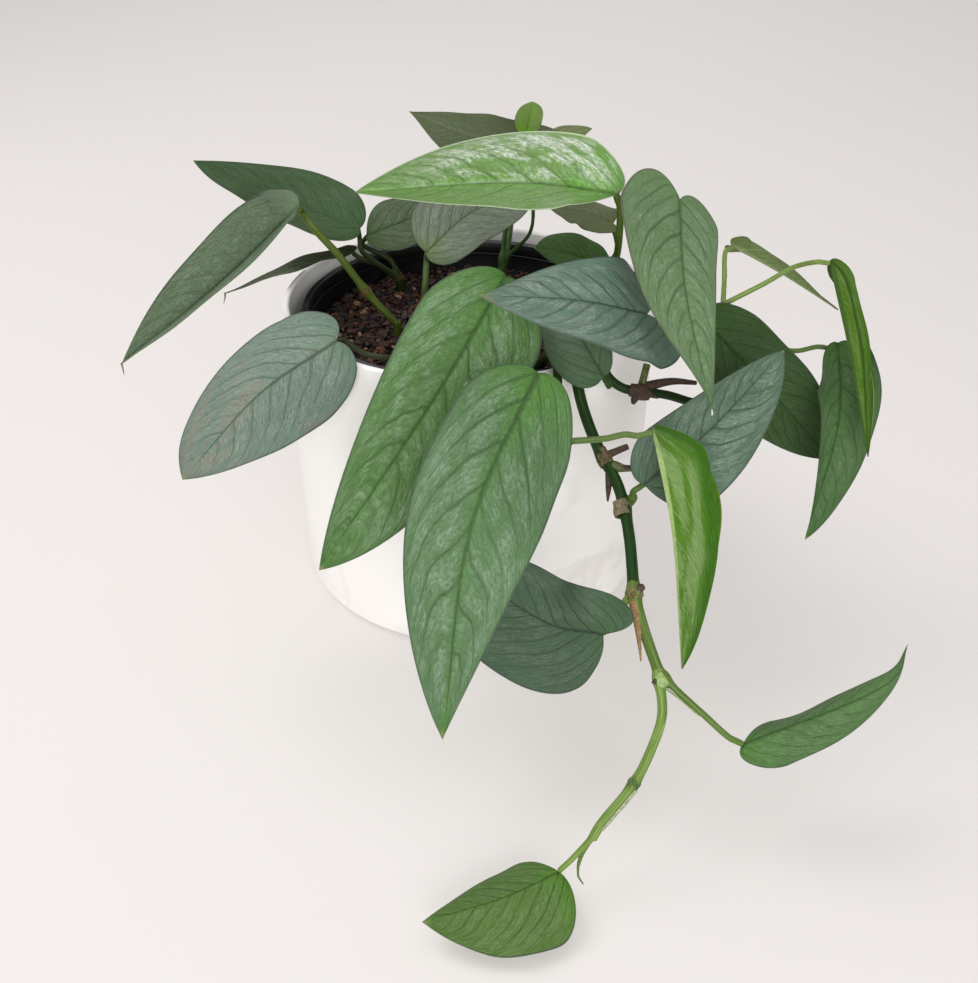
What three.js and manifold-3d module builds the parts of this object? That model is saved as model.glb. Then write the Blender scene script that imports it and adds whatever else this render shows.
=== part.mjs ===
// Cebu blue pothos: a trailing aroid grown in a nursery pot that stands in a plain white cover pot.
// Millimetres, +Z up, origin at the middle of the cover pot's foot. The long vines trail toward -Y and +X.
import * as THREE from 'three';
import { mergeVertices } from 'three/addons/utils/BufferGeometryUtils.js';
import Module from 'manifold-3d';

const wasm = await Module();
wasm.setup();

// ---------- driving sizes ----------
const COVER_RADIUS = 85;          // cover pot, outside
const COVER_HEIGHT = 140;
const COVER_WALL = 3;
const COVER_FLOOR = 5;
const LIP_RADIUS = 77;            // nursery pot, outside of the lip: the six inch size
const LIP_TOP = 136;
const LIP_SKIRT = 7;
const NURSERY_TOP_RADIUS = 75;    // outside of the wall, just under the lip
const NURSERY_FOOT_RADIUS = 57;
const NURSERY_WALL = 1.6;
const POT_SIDES = 36;
const DRAIN_HOLES = 6;
const DRAIN_RADIUS = 5;
const SEAT = 0.3;                 // gap left between neighbours that rest on each other
const MIX_TOP = 123;              // mean height of the potting mix
const MIX_RELIEF = 1.8;
const CHIP_COUNT = 28;
const STEM_DEPTH = 22;            // how deep a stem is set in the mix
const BLADE_THICKNESS = 0.8;
const VINE_RADIUS = 2.4;
const STALK_RADIUS = 1.35;
const NOTCH_GAP = 0.6;            // from the end of a stalk that comes down on its leaf to the notch

// ---------- seeded random draws ----------
let seed = 20417;
function random() {
  seed = (seed * 1664525 + 1013904223) % 4294967296;
  return seed / 4294967296;
}
function between(low, high) {
  return low + (high - low) * random();
}

// ---------- solids ----------
function bare(geometry) {
  geometry.deleteAttribute('normal');
  geometry.deleteAttribute('uv');
  return mergeVertices(geometry, 1e-4);
}
function toSolid(geometry) {
  const plain = bare(geometry.clone());
  const index = Uint32Array.from(plain.index.array);
  const mesh = new wasm.Mesh({ numProp: 3, vertProperties: plain.attributes.position.array, triVerts: index });
  return new wasm.Manifold(mesh);
}
function toGeometry(solid) {
  const mesh = solid.getMesh();
  const geometry = new THREE.BufferGeometry();
  geometry.setAttribute('position', new THREE.BufferAttribute(new Float32Array(mesh.vertProperties), 3));
  geometry.setIndex(new THREE.BufferAttribute(new Uint32Array(mesh.triVerts), 1));
  return geometry;
}
function joined(geometries) {
  let solid = toSolid(geometries[0]);
  for (const geometry of geometries.slice(1)) {
    solid = solid.add(toSolid(geometry));
  }
  return toGeometry(solid);
}
function vectors(points) {
  return points.map((p) => new THREE.Vector3(...p));
}
function lathe(profile, segments) {
  const geometry = new THREE.LatheGeometry(profile.map((p) => new THREE.Vector2(...p)), segments);
  const place = geometry.attributes.position;
  const last = segments * profile.length;
  for (let k = 0; k < profile.length; k += 1) {
    place.setXYZ(last + k, place.getX(k), place.getY(k), place.getZ(k));
  }
  geometry.rotateX(Math.PI / 2);
  return geometry;
}
function rod(points, radius, quarters = 4, spacing = 7) {
  const path = new THREE.CatmullRomCurve3(vectors(points), false, 'centripetal');
  const ring = new THREE.Shape();
  ring.absarc(0, 0, radius, 0, 2 * Math.PI, false);
  const steps = Math.max(3, Math.round(path.getLength() / spacing));
  const options = { steps, curveSegments: quarters, bevelEnabled: false, extrudePath: path };
  return new THREE.ExtrudeGeometry(ring, options);
}
function knob(center, radius, stretch = 0.8) {
  const geometry = new THREE.SphereGeometry(radius, 7, 5);
  geometry.scale(1, 1, stretch);
  geometry.translate(...center);
  return geometry;
}
function spike(from, to, radius, tipRadius = 0.35) {
  const [start, end] = vectors([from, to]);
  const along = end.clone().sub(start);
  const geometry = new THREE.CylinderGeometry(tipRadius, radius, along.length(), 7);
  const turn = new THREE.Quaternion().setFromUnitVectors(new THREE.Vector3(0, 1, 0), along.clone().normalize());
  geometry.applyQuaternion(turn);
  geometry.translate(...start.lerp(end, 0.5).toArray());
  return geometry;
}

// ---------- leaf blades ----------
// Half of the blade's outline in rib lengths and half widths: round the lobe, then out to the drip tip.
const LOBE_SHARE = 0.36;          // share of the stations spent on the lobe
const STATIONS = 10;
const ROWS = 3;

function outlineAt(u, lobe, full, widest) {
  if (u < LOBE_SHARE) {
    const back = -0.12 * lobe;
    const shoulder = 0.1 - 0.07 * lobe;
    const round = new THREE.CubicBezierCurve(
      new THREE.Vector2(0, 0), new THREE.Vector2(back, 0.35), new THREE.Vector2(shoulder, 1), new THREE.Vector2(widest, 1),
    );
    return round.getPoint(u / LOBE_SHARE);
  }
  const taper = new THREE.CubicBezierCurve(
    new THREE.Vector2(widest, 1), new THREE.Vector2(widest + 0.3, 1), new THREE.Vector2(0.84, full), new THREE.Vector2(1, 0),
  );
  return taper.getPoint((u - LOBE_SHARE) / (1 - LOBE_SHARE));
}
function ribAt(u) {
  if (u < LOBE_SHARE) {
    return 0.24 * (u / LOBE_SHARE);
  }
  return 0.24 + 0.76 * ((u - LOBE_SHARE) / (1 - LOBE_SHARE));
}

// The middle surface of a blade at x rib lengths from the stalk and w half widths off the rib.
function bladeSurface(leaf) {
  const rib = new THREE.CatmullRomCurve3(vectors(leaf.rib), false, 'centripetal');
  const length = rib.getLength();
  const faceBase = new THREE.Vector3(...leaf.face).normalize();
  const faceTip = new THREE.Vector3(...(leaf.faceTip ?? leaf.face)).normalize();
  const fold = THREE.MathUtils.degToRad(leaf.fold ?? 8);
  const wave = leaf.wave ?? 0.8;
  const bend = leaf.bend ?? 0.1;
  return (x, w) => {
    const t = Math.min(Math.max(x, 0), 1);
    const along = rib.getTangentAt(t);
    const point = rib.getPointAt(t);
    point.addScaledVector(along, (x - t) * length);
    const up = faceBase.clone().lerp(faceTip, t);
    up.addScaledVector(along, -up.dot(along)).normalize();
    const side = along.clone().cross(up);
    const half = w > 0 ? leaf.half[1] : leaf.half[0];
    const reach = Math.abs(w) * half;
    const opening = fold * Math.min(1, 0.3 + Math.max(x, 0) / 0.2);
    point.addScaledVector(side, Math.sign(w) * reach * Math.cos(opening));
    const ripple = wave * w * w * Math.sin(leaf.beat + 13 * x + 2.2 * w);
    const droop = bend * half * w * w;
    point.addScaledVector(up, reach * Math.sin(opening) - droop + ripple);
    return point;
  };
}
function blade(leaf) {
  const surface = bladeSurface(leaf);
  const middle = [];
  const place = (x, w) => middle.push(surface(x, w)) - 1;
  const ribRow = [];
  const halves = { '-1': [], 1: [] };
  const lobes = leaf.lobes ?? [1, 1];
  const full = leaf.full ?? [0.55, 0.55];
  for (let i = 0; i <= STATIONS; i += 1) {
    const u = i / STATIONS;
    const ribX = ribAt(u);
    ribRow.push(place(ribX, 0));
    for (const sign of [-1, 1]) {
      const which = sign > 0 ? 1 : 0;
      const edge = outlineAt(u, lobes[which], full[which], leaf.widest ?? 0.28);
      const row = [ribRow[i]];
      for (let j = 1; j <= ROWS; j += 1) {
        const v = j / ROWS;
        const atEnd = i === 0 || i === STATIONS;
        row.push(atEnd ? ribRow[i] : place(ribX + (edge.x - ribX) * v, sign * edge.y * v));
      }
      halves[sign].push(row);
    }
  }
  const sheet = [];
  const addFlat = (a, b, c) => {
    if (a !== b && b !== c && c !== a) {
      sheet.push([a, b, c]);
    }
  };
  for (const sign of [-1, 1]) {
    for (let i = 0; i < STATIONS; i += 1) {
      for (let j = 0; j < ROWS; j += 1) {
        const [a, b] = [halves[sign][i][j], halves[sign][i + 1][j]];
        const [c, d] = [halves[sign][i + 1][j + 1], halves[sign][i][j + 1]];
        if (sign > 0) {
          addFlat(a, c, b);
          addFlat(a, d, c);
        } else {
          addFlat(a, b, c);
          addFlat(a, c, d);
        }
      }
    }
  }
  const lift = middle.map(() => new THREE.Vector3());
  for (const [a, b, c] of sheet) {
    const first = middle[b].clone().sub(middle[a]);
    const second = middle[c].clone().sub(middle[a]);
    const normal = first.cross(second);
    [a, b, c].forEach((k) => lift[k].add(normal));
  }
  const positions = [];
  for (const side of [0.5, -0.5]) {
    middle.forEach((point, k) => {
      const offset = lift[k].clone().normalize().multiplyScalar(side * BLADE_THICKNESS);
      positions.push(...point.clone().add(offset).toArray());
    });
  }
  const under = middle.length;
  const index = [];
  for (const [a, b, c] of sheet) {
    index.push(a, b, c, c + under, b + under, a + under);
  }
  const rim = [];
  for (let i = 0; i <= STATIONS; i += 1) {
    rim.push(halves[1][i][ROWS]);
  }
  for (let i = STATIONS - 1; i > 0; i -= 1) {
    rim.push(halves[-1][i][ROWS]);
  }
  rim.forEach((a, k) => {
    const b = rim[(k + 1) % rim.length];
    index.push(a, a + under, b, b, a + under, b + under);
  });
  const geometry = new THREE.BufferGeometry();
  geometry.setAttribute('position', new THREE.BufferAttribute(new Float32Array(positions), 3));
  geometry.setIndex(index);
  return geometry;
}

// Each leaf: the rib from stalk to drip tip, the way its face looks, and the half widths right and left of the rib.
const LEAVES = {
  upper_left_leaf: {
    rib: [[-52, 28, 160], [-88, 40, 171], [-129, 41, 188]], face: [-0.2, -0.3, 0.95], half: [16.5, 21],
    lobes: [0.6, 0.3], full: [1, 0.3], widest: 0.26, fold: 11, rise: 80,
    color: 0x566f61,
  },
  long_left_leaf: {
    rib: [[-76, 10, 177], [-103, -35, 161], [-137, -79, 144]], face: [0.05, -0.65, 0.75], half: [12, 20.5],
    lobes: [-0.9, 0.9], full: [1, 0.5], widest: 0.36, fold: 54, rise: 60,
    color: 0x667d6e,
  },
  edge_on_left_leaf: {
    rib: [[-56.5, 35, 146], [-79, 18, 146], [-111.5, -3.5, 141]], face: [-0.25, 0.55, 0.8], half: [14.5, 9],
    lobes: [0.3, 0.6], full: [-0.1, 1], widest: 0.26, fold: 8, rise: 50,
    color: 0x404c2e,
  },
  low_left_leaf: {
    rib: [[-52, -71, 150], [-80, -92, 138], [-107, -122, 117]], face: [-0.4, -0.9, 0.3], half: [24, 23.5],
    lobes: [0.8, 1.4], full: [0.55, 1], widest: 0.28, fold: -17, rise: 40,
    color: 0x6f8780,
  },
  inner_left_leaf: {
    rib: [[-51, 45, 150], [-28, 59, 154], [-3, 74, 158]], face: [-0.2, -0.75, 0.65], half: [14, 14.5],
    lobes: [-0.4, 0.6], full: [0.6, 0.6], widest: 0.32, fold: 8, rise: 60,
    color: 0x66786a,
  },
  inner_middle_leaf: {
    rib: [[-20, 13, 154], [1, 30, 167], [31, 45, 172]], face: [-0.05, -0.65, 0.75], half: [21, 17],
    lobes: [0.2, 0.8], full: [0.6, 0.95], widest: 0.32, fold: 9, rise: 80,
    color: 0x76867c,
  },
  back_leaf: {
    rib: [[41, 82, 182], [5, 92, 184], [-31, 92, 197]], face: [0.05, 0.95, 0.35], half: [14.5, 22],
    lobes: [2, 1.2], full: [0.25, 0.35], widest: 0.36, fold: 6, rise: 60,
    color: 0x5f7265,
  },
  new_back_leaf: {
    rib: [[27, 60, 196], [29, 65, 203], [30, 71, 207]], face: [-0.05, -0.9, 0.4], half: [7, 6],
    lobes: [1.5, 1.2], full: [0.7, 1], widest: 0.32, fold: 8, wave: 0.2, rise: 50,
    color: 0x5c9a38,
  },
  far_back_leaf: {
    rib: [[27, 99, 169], [45, 107, 177], [63, 112, 183]], face: [-0.3, -0.6, 0.75], half: [10, 10],
    lobes: [1.2, 1.2], full: [0.75, 0.3], widest: 0.28, fold: 8, rise: 60,
    color: 0x6d8574,
  },
  glossy_top_leaf: {
    rib: [[61, -36, 198], [22, -25, 199], [-45, -37, 199]], face: [0.3, -0.5, 0.8], half: [22.5, 24],
    lobes: [-0.7, 0.5], full: [0.4, 0.45], widest: 0.2, fold: 25, rise: 75,
    color: 0x6ea544,
  },
  shaded_right_leaf: {
    rib: [[67, 24, 164], [55, 33, 166], [38, 39, 166]], face: [0.2, -0.25, 0.95], half: [14, 13],
    lobes: [2.6, -0.3], full: [0.55, 0.05], widest: 0.26, fold: 5, rise: 60,
    color: 0x4c6358,
  },
  small_inner_leaf: {
    rib: [[62, 2, 152], [46, -2, 159], [29, -7, 164]], face: [0, -0.6, 0.8], half: [11, 11],
    lobes: [1.2, 1.2], full: [0.6, 0.85], widest: 0.3, fold: 8, rise: 70,
    color: 0x57695a,
  },
  upright_right_leaf: {
    rib: [[85, -42, 198], [83, -85, 177], [92, -113, 142]], face: [0.15, -0.9, 0.4], half: [15, 26],
    lobes: [0.8, 2.5], full: [0.35, 0], widest: 0.16, fold: 10, rise: 90,
    color: 0x5f7f68,
  },
  across_leaf: {
    rib: [[72, -67, 160], [42, -83, 173], [6, -95, 180]], face: [-0.05, -0.6, 0.8], half: [26, 22],
    lobes: [3.2, 1.2], full: [0.5, 0.25], widest: 0.1, fold: 14, rise: 70,
    color: 0x5d7573,
  },
  round_shaded_leaf: {
    rib: [[53, -93, 146], [44, -74, 155], [27, -44, 163]], face: [-0.1, -0.85, 0.5], half: [15.5, 9],
    lobes: [0.9, 0.3], full: [0.15, 0.6], widest: 0.28, fold: 8, rise: 60,
    color: 0x435850,
  },
  long_front_leaf: {
    rib: [[16, -65, 175], [-11, -104, 143], [-55, -143, 90]], face: [-0.05, -0.85, 0.5], half: [26.5, 24.5],
    lobes: [0.2, 0.3], full: [0.85, 0.45], widest: 0.2, fold: 7, rise: 90,
    color: 0x588760,
  },
  big_front_leaf: {
    rib: [[27, -110, 156], [3, -152, 118], [-8, -186, 45]], face: [-0.1, -0.95, -0.25], half: [29, 25.5],
    lobes: [0.5, 0.2], full: [0.2, 0.6], widest: 0.2, fold: 6, rise: 90,
    color: 0x5a8c62,
  },
  low_shaded_leaf: {
    rib: [[51, -162, 75], [32, -148, 68], [0, -125, 76]], face: [0.1, -0.75, 0.65], half: [26.5, 18],
    lobes: [0.7, 3.2], full: [1, 1], widest: 0.4, fold: 10, heading: [-0.6, -0.55, -0.55],
    color: 0x475f57,
  },
  new_folded_leaf: {
    rib: [[70, -119, 137], [76, -146, 110], [80, -171, 66]], face: [0.85, -0.5, -0.2], half: [19.5, 20],
    lobes: [0.5, 0.4], full: [0.35, 0.6], widest: 0.24, fold: 64, bend: 0, rise: 90,
    color: 0x7cb53c,
  },
  blue_right_leaf: {
    rib: [[68, -122, 115], [94, -103, 127], [126, -77, 149]], face: [0.1, -0.8, 0.6], half: [16, 22],
    lobes: [0.6, 0.1], full: [0.5, 0.65], widest: 0.16, fold: 8, rise: 40,
    color: 0x61797a,
  },
  dark_right_leaf: {
    rib: [[102, -50, 146], [127, -60, 123], [154, -76, 97]], face: [0.2, -0.75, 0.65], half: [19.5, 21.5],
    lobes: [1.6, 1.2], full: [0.95, 0.7], widest: 0.32, fold: 8, rise: 60,
    color: 0x3f5c49,
  },
  edge_on_right_leaf: {
    rib: [[115, -12, 167], [139, -16, 155], [163, -24, 142]], face: [0.35, 0.9, 0.15], half: [8, 8],
    lobes: [0.9, 0.8], full: [0.95, -0.1], widest: 0.24, fold: 72, rise: 60,
    color: 0x6f8f62,
  },
  new_hanging_leaf: {
    rib: [[150, -40, 171], [154, -74, 145], [158, -104, 116]], face: [0.45, -0.65, -0.65], half: [13, 9],
    lobes: [0.3, 0.3], full: [0.45, 0.3], widest: 0.2, fold: 69, bend: 0, rise: 90,
    color: 0x79ac3f,
  },
  far_right_leaf: {
    rib: [[157, -48, 138], [151, -84, 121], [135, -117, 85]], face: [-0.2, -0.95, -0.3], half: [16, 9.5],
    lobes: [0.3, 0.3], full: [0.75, -0.1], widest: 0.2, fold: 4, rise: 80,
    color: 0x55784f,
  },
  low_right_leaf: {
    rib: [[101, -190, 47], [154, -179, 68], [165, -162, 70]], face: [0.8, 0.1, 0.55], half: [8.5, 12.5],
    lobes: [-0.4, 0.8], full: [0.15, -0.1], widest: 0.16, fold: -22, heading: [0.8, 0, -0.5],
    color: 0x527850,
  },
  last_leaf: {
    rib: [[34, -219, 13], [14, -229, 12], [-14, -238, 11]], face: [0, -0.05, 1], half: [22.5, 12.5],
    lobes: [0.6, -0.3], full: [0.5, 0.35], widest: 0.24, fold: -16, bend: 0, heading: [-0.7, -0.3, -0.64],
    color: 0x5c8c50,
  },
};
Object.values(LEAVES).forEach((leaf, k) => {
  leaf.beat = 1.7 * k;
});

// The last points of a leaf's stalk: it rises to the blade from below and stops just short of it. A stalk that
// comes down on the blade stops short of the notch between the lobes instead.
function seatUnder(name, radius) {
  const leaf = LEAVES[name];
  const rib = new THREE.CatmullRomCurve3(vectors(leaf.rib), false, 'centripetal');
  const along = rib.getTangentAt(0);
  const up = new THREE.Vector3(...leaf.face).normalize();
  up.addScaledVector(along, -up.dot(along)).normalize();
  const rise = THREE.MathUtils.degToRad(leaf.rise ?? 60);
  const rising = along.clone().multiplyScalar(Math.cos(rise)).addScaledVector(up, Math.sin(rise));
  const heading = leaf.heading ? new THREE.Vector3(...leaf.heading).normalize() : rising;
  const slope = heading.dot(up);
  const end = new THREE.Vector3(...leaf.rib[0]);
  if (slope > 0) {
    const drop = BLADE_THICKNESS / 2 + SEAT + radius * Math.sqrt(Math.max(0, 1 - slope * slope));
    end.addScaledVector(up, -drop).addScaledVector(along, 0.8);
  } else {
    end.addScaledVector(heading, -NOTCH_GAP);
  }
  return [6, 3, 0].map((back) => end.clone().addScaledVector(heading, -back).toArray());
}
function stalk(name, points, radius = STALK_RADIUS) {
  return rod([...points, ...seatUnder(name, radius)], radius, 3);
}
function rooted(name, points) {
  return [[...HOLES[name].at, MIX_TOP + 5], ...points];
}
function plug(name) {
  const { at, radius } = HOLES[name];
  return spike([...at, MIX_TOP - STEM_DEPTH], [...at, MIX_TOP + 6.5], radius, radius);
}

// ---------- vines: each stands in its own hole in the mix ----------
const HOLES = {
  left_vine: { at: [-33, -9], radius: 1.8 },
  back_left_vine: { at: [-35, 42], radius: 2 },
  inner_vine: { at: [-22, 14], radius: 1.6 },
  back_vine: { at: [15, 36], radius: 2 },
  top_vine: { at: [56, 0], radius: 2 },
  right_upright_vine: { at: [58, -22], radius: 2 },
  over_front_vine: { at: [30, -50], radius: 2 },
  trailing_vine: { at: [40, -34], radius: VINE_RADIUS },
  right_vine: { at: [50, -38], radius: 2.1 },
  front_vine: { at: [-14, -40], radius: 2 },
};
const VINES = {
  left_vine: () => [
    rod([...rooted('left_vine', [[-38, -8, 133], [-47, -4, 142], [-59, 0, 158], [-68, 4, 167]]), ...seatUnder('long_left_leaf', 1.8)], 1.8),
    knob([-47, -4, 142], 2.7),
  ],
  back_left_vine: () => [
    rod(rooted('back_left_vine', [[-38, 41, 134]]), 2),
    stalk('inner_left_leaf', [[-36, 42, 130], [-40, 46, 137]]),
    stalk('upper_left_leaf', [[-37, 41, 131], [-46, 33, 141], [-52, 29, 149]]),
    stalk('edge_on_left_leaf', [[-37, 42, 129], [-46, 40, 137]]),
  ],
  inner_vine: () => [
    stalk('inner_middle_leaf', rooted('inner_vine', [[-21, 13, 138]]), 1.6),
  ],
  back_vine: () => [
    rod(rooted('back_vine', [[16, 44, 138]]), 2),
    stalk('back_leaf', [[15, 38, 129], [16, 45, 141], [18, 55, 152], [26, 66, 164], [40, 72, 170]]),
    stalk('far_back_leaf', [[15, 38, 130], [19, 58, 142], [22, 86, 151]]),
    stalk('new_back_leaf', [[16, 44, 138], [29, 44, 152], [30, 52, 166], [26, 58, 180]], 1),
  ],
  top_vine: () => [
    rod(rooted('top_vine', [[57, -3, 136]]), 2),
    stalk('glossy_top_leaf', [[56, -1, 130], [59, -14, 146], [63, -26, 166], [63, -33, 180]], 1.7),
    stalk('shaded_right_leaf', [[57, 0, 131], [62, 12, 144], [69, 20, 152]]),
    stalk('small_inner_leaf', [[57, -1, 132], [60, 0, 140]]),
  ],
  right_upright_vine: () => [
    rod(rooted('right_upright_vine', [[61, -23, 136]]), 2),
    stalk('upright_right_leaf', [[59, -22, 130], [68, -26, 150], [79, -32, 178]], 1.6),
    stalk('across_leaf', [[60, -23, 132], [70, -36, 146], [75, -54, 150]], 1.6),
  ],
  over_front_vine: () => [
    rod([...rooted('over_front_vine', [[33, -66, 140], [36, -77, 145], [36, -86, 139], [35, -94, 132]]), [34, -104, 127],
      [40, -111, 126]], 2),
    stalk('big_front_leaf', [[35, -92, 134], [31, -99, 145]], 1.6),
    stalk('new_folded_leaf', [[38, -109, 126], [53, -115, 131], [60, -117, 134]]),
  ],
  trailing_vine: () => [
    rod([...rooted('trailing_vine', [[41, -50, 138], [42, -64, 146], [43, -75, 146.5], [44, -84, 138]]), [47, -91, 128],
      [52, -103, 119], [59, -116, 110], [62, -132, 100], [63, -151, 86], [66, -160, 77], [72, -174, 64]], VINE_RADIUS),
    rod([[71, -172, 66], [72, -183, 55], [68, -191, 46], [61, -200, 37], [49, -209, 26], [46, -212, 22]], 1.9),
    stalk('round_shaded_leaf', [[44, -68, 147], [51, -78, 149]]),
    stalk('blue_right_leaf', [[60, -124, 105], [65, -120, 107]]),
    stalk('low_shaded_leaf', [[63, -151, 85], [59, -153, 82]]),
    stalk('low_right_leaf', [[72, -173, 65], [79, -179, 61], [86, -185, 57.5]]),
    stalk('last_leaf', [[47, -211, 23], [43, -214, 20.5]], 1.2),
    rod([[46, -211, 22], [42, -215, 16], [41, -219, 11], [43, -221, 8]], 1.1, 2, 3),
    spike([55, -105, 117.5], [63, -106, 122], 1.4, 0.6),
    spike([57, -109, 114], [64, -112, 115], 1.8),
    spike([56, -112, 112], [55, -120, 106], 1, 0.6),
    spike([63, -155, 83], [65, -169, 68], 1.5),
    knob([65, -151, 88], 1.9),
    knob([54, -106, 117], 3.2),
    knob([60, -124, 105], 3.2),
    knob([63, -151, 86], 3.3),
    knob([72, -174, 64], 2.9),
    knob([61, -200, 37], 2.5),
  ],
  right_vine: () => [
    rod([...rooted('right_vine', [[51, -50, 141], [52, -61, 147], [54, -69, 144], [57, -74, 136]]), [63, -77, 132], [70, -78, 131],
      [82, -76, 128], [94, -74, 123.5], [103, -63, 121], [109, -46, 134], [110, -36, 149]], 2.1),
    stalk('dark_right_leaf', [[109, -47, 134], [106, -42, 141]]),
    stalk('edge_on_right_leaf', [[109, -36, 150], [111, -24, 156]], 1.2),
    stalk('new_hanging_leaf', [[109, -36, 150], [126, -36, 160], [137, -34, 166]], 1.2),
    stalk('far_right_leaf', [[108, -43, 140], [122, -40, 135], [141, -42, 131], [151, -44, 134]], 1.2),
    knob([71, -78, 131], 3.2),
    spike([71, -77, 132], [73, -72, 140], 1.1, 0.7),
    rod([[72, -77, 132], [76, -75, 133], [84, -73, 133.5], [94, -71, 131]], 1.2, 3),
  ],
  front_vine: () => [
    rod(rooted('front_vine', [[-13, -43, 136]]), 2),
    stalk('long_front_leaf', [[-14, -42, 131], [-4, -46, 148], [10, -52, 166]], 1.6),
    stalk('low_left_leaf', [[-14, -41, 129], [-22, -58, 138], [-32, -72, 143], [-42, -68, 143]]),
  ],
};

// ---------- pots ----------
function coverPot() {
  const inner = COVER_RADIUS - COVER_WALL;
  const profile = [
    [0, 0], [COVER_RADIUS - 3, 0], [COVER_RADIUS - 0.8, 0.8], [COVER_RADIUS, 3],
    [COVER_RADIUS, COVER_HEIGHT - 1], [COVER_RADIUS - 1, COVER_HEIGHT], [inner + 0.8, COVER_HEIGHT],
    [inner, COVER_HEIGHT - 1], [inner, COVER_FLOOR + 3], [inner - 3, COVER_FLOOR], [0, COVER_FLOOR],
  ];
  return lathe(profile, POT_SIDES);
}
// The nursery pot's wall leans out evenly; this is the radius of its inner face at a height.
function nurseryInside(z) {
  const foot = COVER_FLOOR + SEAT;
  const share = (z - foot) / (LIP_TOP - LIP_SKIRT - foot);
  return NURSERY_FOOT_RADIUS - NURSERY_WALL + (NURSERY_TOP_RADIUS - NURSERY_FOOT_RADIUS) * share;
}
function nurseryPot() {
  const foot = COVER_FLOOR + SEAT;
  const under = LIP_TOP - LIP_SKIRT;
  const profile = [
    [0, foot], [NURSERY_FOOT_RADIUS - 2, foot], [NURSERY_FOOT_RADIUS, foot + 2], [NURSERY_TOP_RADIUS, under],
    [LIP_RADIUS - 0.4, under], [LIP_RADIUS, LIP_TOP - 2], [LIP_RADIUS - 0.4, LIP_TOP - 0.4], [LIP_RADIUS - 1.2, LIP_TOP],
    [LIP_RADIUS - 2.4, LIP_TOP - 0.2], [LIP_RADIUS - 3.2, LIP_TOP - 1.6], [nurseryInside(under - 2), under - 2],
    [nurseryInside(foot + 3), foot + 3], [nurseryInside(foot + 3) - 1.2, foot + 2], [0, foot + 2],
  ];
  let solid = toSolid(lathe(profile, POT_SIDES));
  for (let k = 0; k < DRAIN_HOLES; k += 1) {
    const angle = (k / DRAIN_HOLES) * 2 * Math.PI;
    const drill = new THREE.CylinderGeometry(DRAIN_RADIUS, DRAIN_RADIUS, 12, 9);
    drill.rotateX(Math.PI / 2);
    drill.translate(36 * Math.cos(angle), 36 * Math.sin(angle), foot);
    solid = solid.subtract(toSolid(drill));
  }
  return toGeometry(solid);
}

// ---------- potting mix: bark and coco chips, with a plain hole for every stem ----------
function pottingMix() {
  const foot = COVER_FLOOR + SEAT + 2 + SEAT;
  const profile = [
    [0, foot], [nurseryInside(foot) - 1.6, foot], [nurseryInside(foot + 3) - SEAT - 0.1, foot + 3],
    [nurseryInside(MIX_TOP - 4) - SEAT, MIX_TOP - 4],
  ];
  for (let k = 6; k >= 0; k -= 1) {
    profile.push([(nurseryInside(MIX_TOP) - SEAT - 1) * (k / 6), MIX_TOP - (k > 4 ? 1.5 : 0)]);
  }
  const body = bare(lathe(profile, POT_SIDES));
  const place = body.attributes.position;
  for (let k = 0; k < place.count; k += 1) {
    if (place.getZ(k) > MIX_TOP - 3) {
      place.setZ(k, place.getZ(k) + between(-MIX_RELIEF, MIX_RELIEF));
    }
  }
  let solid = toSolid(body);
  for (let k = 0; k < CHIP_COUNT; k += 1) {
    const chip = new THREE.BoxGeometry(between(6, 13), between(4, 8), between(2.5, 4.5));
    chip.rotateX(between(-0.4, 0.4));
    chip.rotateY(between(-0.4, 0.4));
    chip.rotateZ(between(0, Math.PI));
    const reach = 62 * Math.sqrt((k + 0.5) / CHIP_COUNT);
    const angle = k * 2.399963;
    chip.translate(reach * Math.cos(angle), reach * Math.sin(angle), MIX_TOP + between(-0.4, 1.2));
    solid = solid.add(toSolid(chip));
  }
  for (const hole of Object.values(HOLES)) {
    const depth = STEM_DEPTH + SEAT;
    const wide = (hole.radius + SEAT) / Math.cos(Math.PI / 10);
    const drill = new THREE.CylinderGeometry(wide, wide, depth + 8, 10);
    drill.rotateX(Math.PI / 2);
    drill.translate(...hole.at, MIX_TOP + (8 - depth) / 2);
    solid = solid.subtract(toSolid(drill));
  }
  const pieces = solid.decompose().sort((a, b) => b.volume() - a.volume());
  return toGeometry(pieces[0]);
}

// ---------- assembly ----------
const group = new THREE.Group();
group.name = 'cebu_blue_pothos';
function addNode(name, geometry, color, roughness) {
  const material = new THREE.MeshStandardMaterial({ color, roughness, metalness: 0 });
  material.name = name;
  const mesh = new THREE.Mesh(geometry, material);
  mesh.name = name;
  group.add(mesh);
}
addNode('cover_pot', coverPot(), 0xe6e3df, 0.4);
addNode('nursery_pot', nurseryPot(), 0x1b1c1e, 0.5);
addNode('potting_mix', pottingMix(), 0x4a2a1c, 0.95);
const VINE_COLORS = {
  left_vine: 0x77833a, back_left_vine: 0x4d5a2c, inner_vine: 0x7d9560, back_vine: 0x5d7a3c, top_vine: 0x6f9a4a,
  right_upright_vine: 0x4f6f3c, over_front_vine: 0x86ad62, trailing_vine: 0x3f6238, right_vine: 0x4b6b35,
  front_vine: 0x77733f,
};
for (const [name, parts] of Object.entries(VINES)) {
  addNode(name, joined([plug(name), ...parts()]), VINE_COLORS[name], 0.55);
}
for (const [name, leaf] of Object.entries(LEAVES)) {
  const roughness = name === 'glossy_top_leaf' ? 0.25 : 0.5;
  addNode(name, blade(leaf), leaf.color, roughness);
}

export default group;
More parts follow.
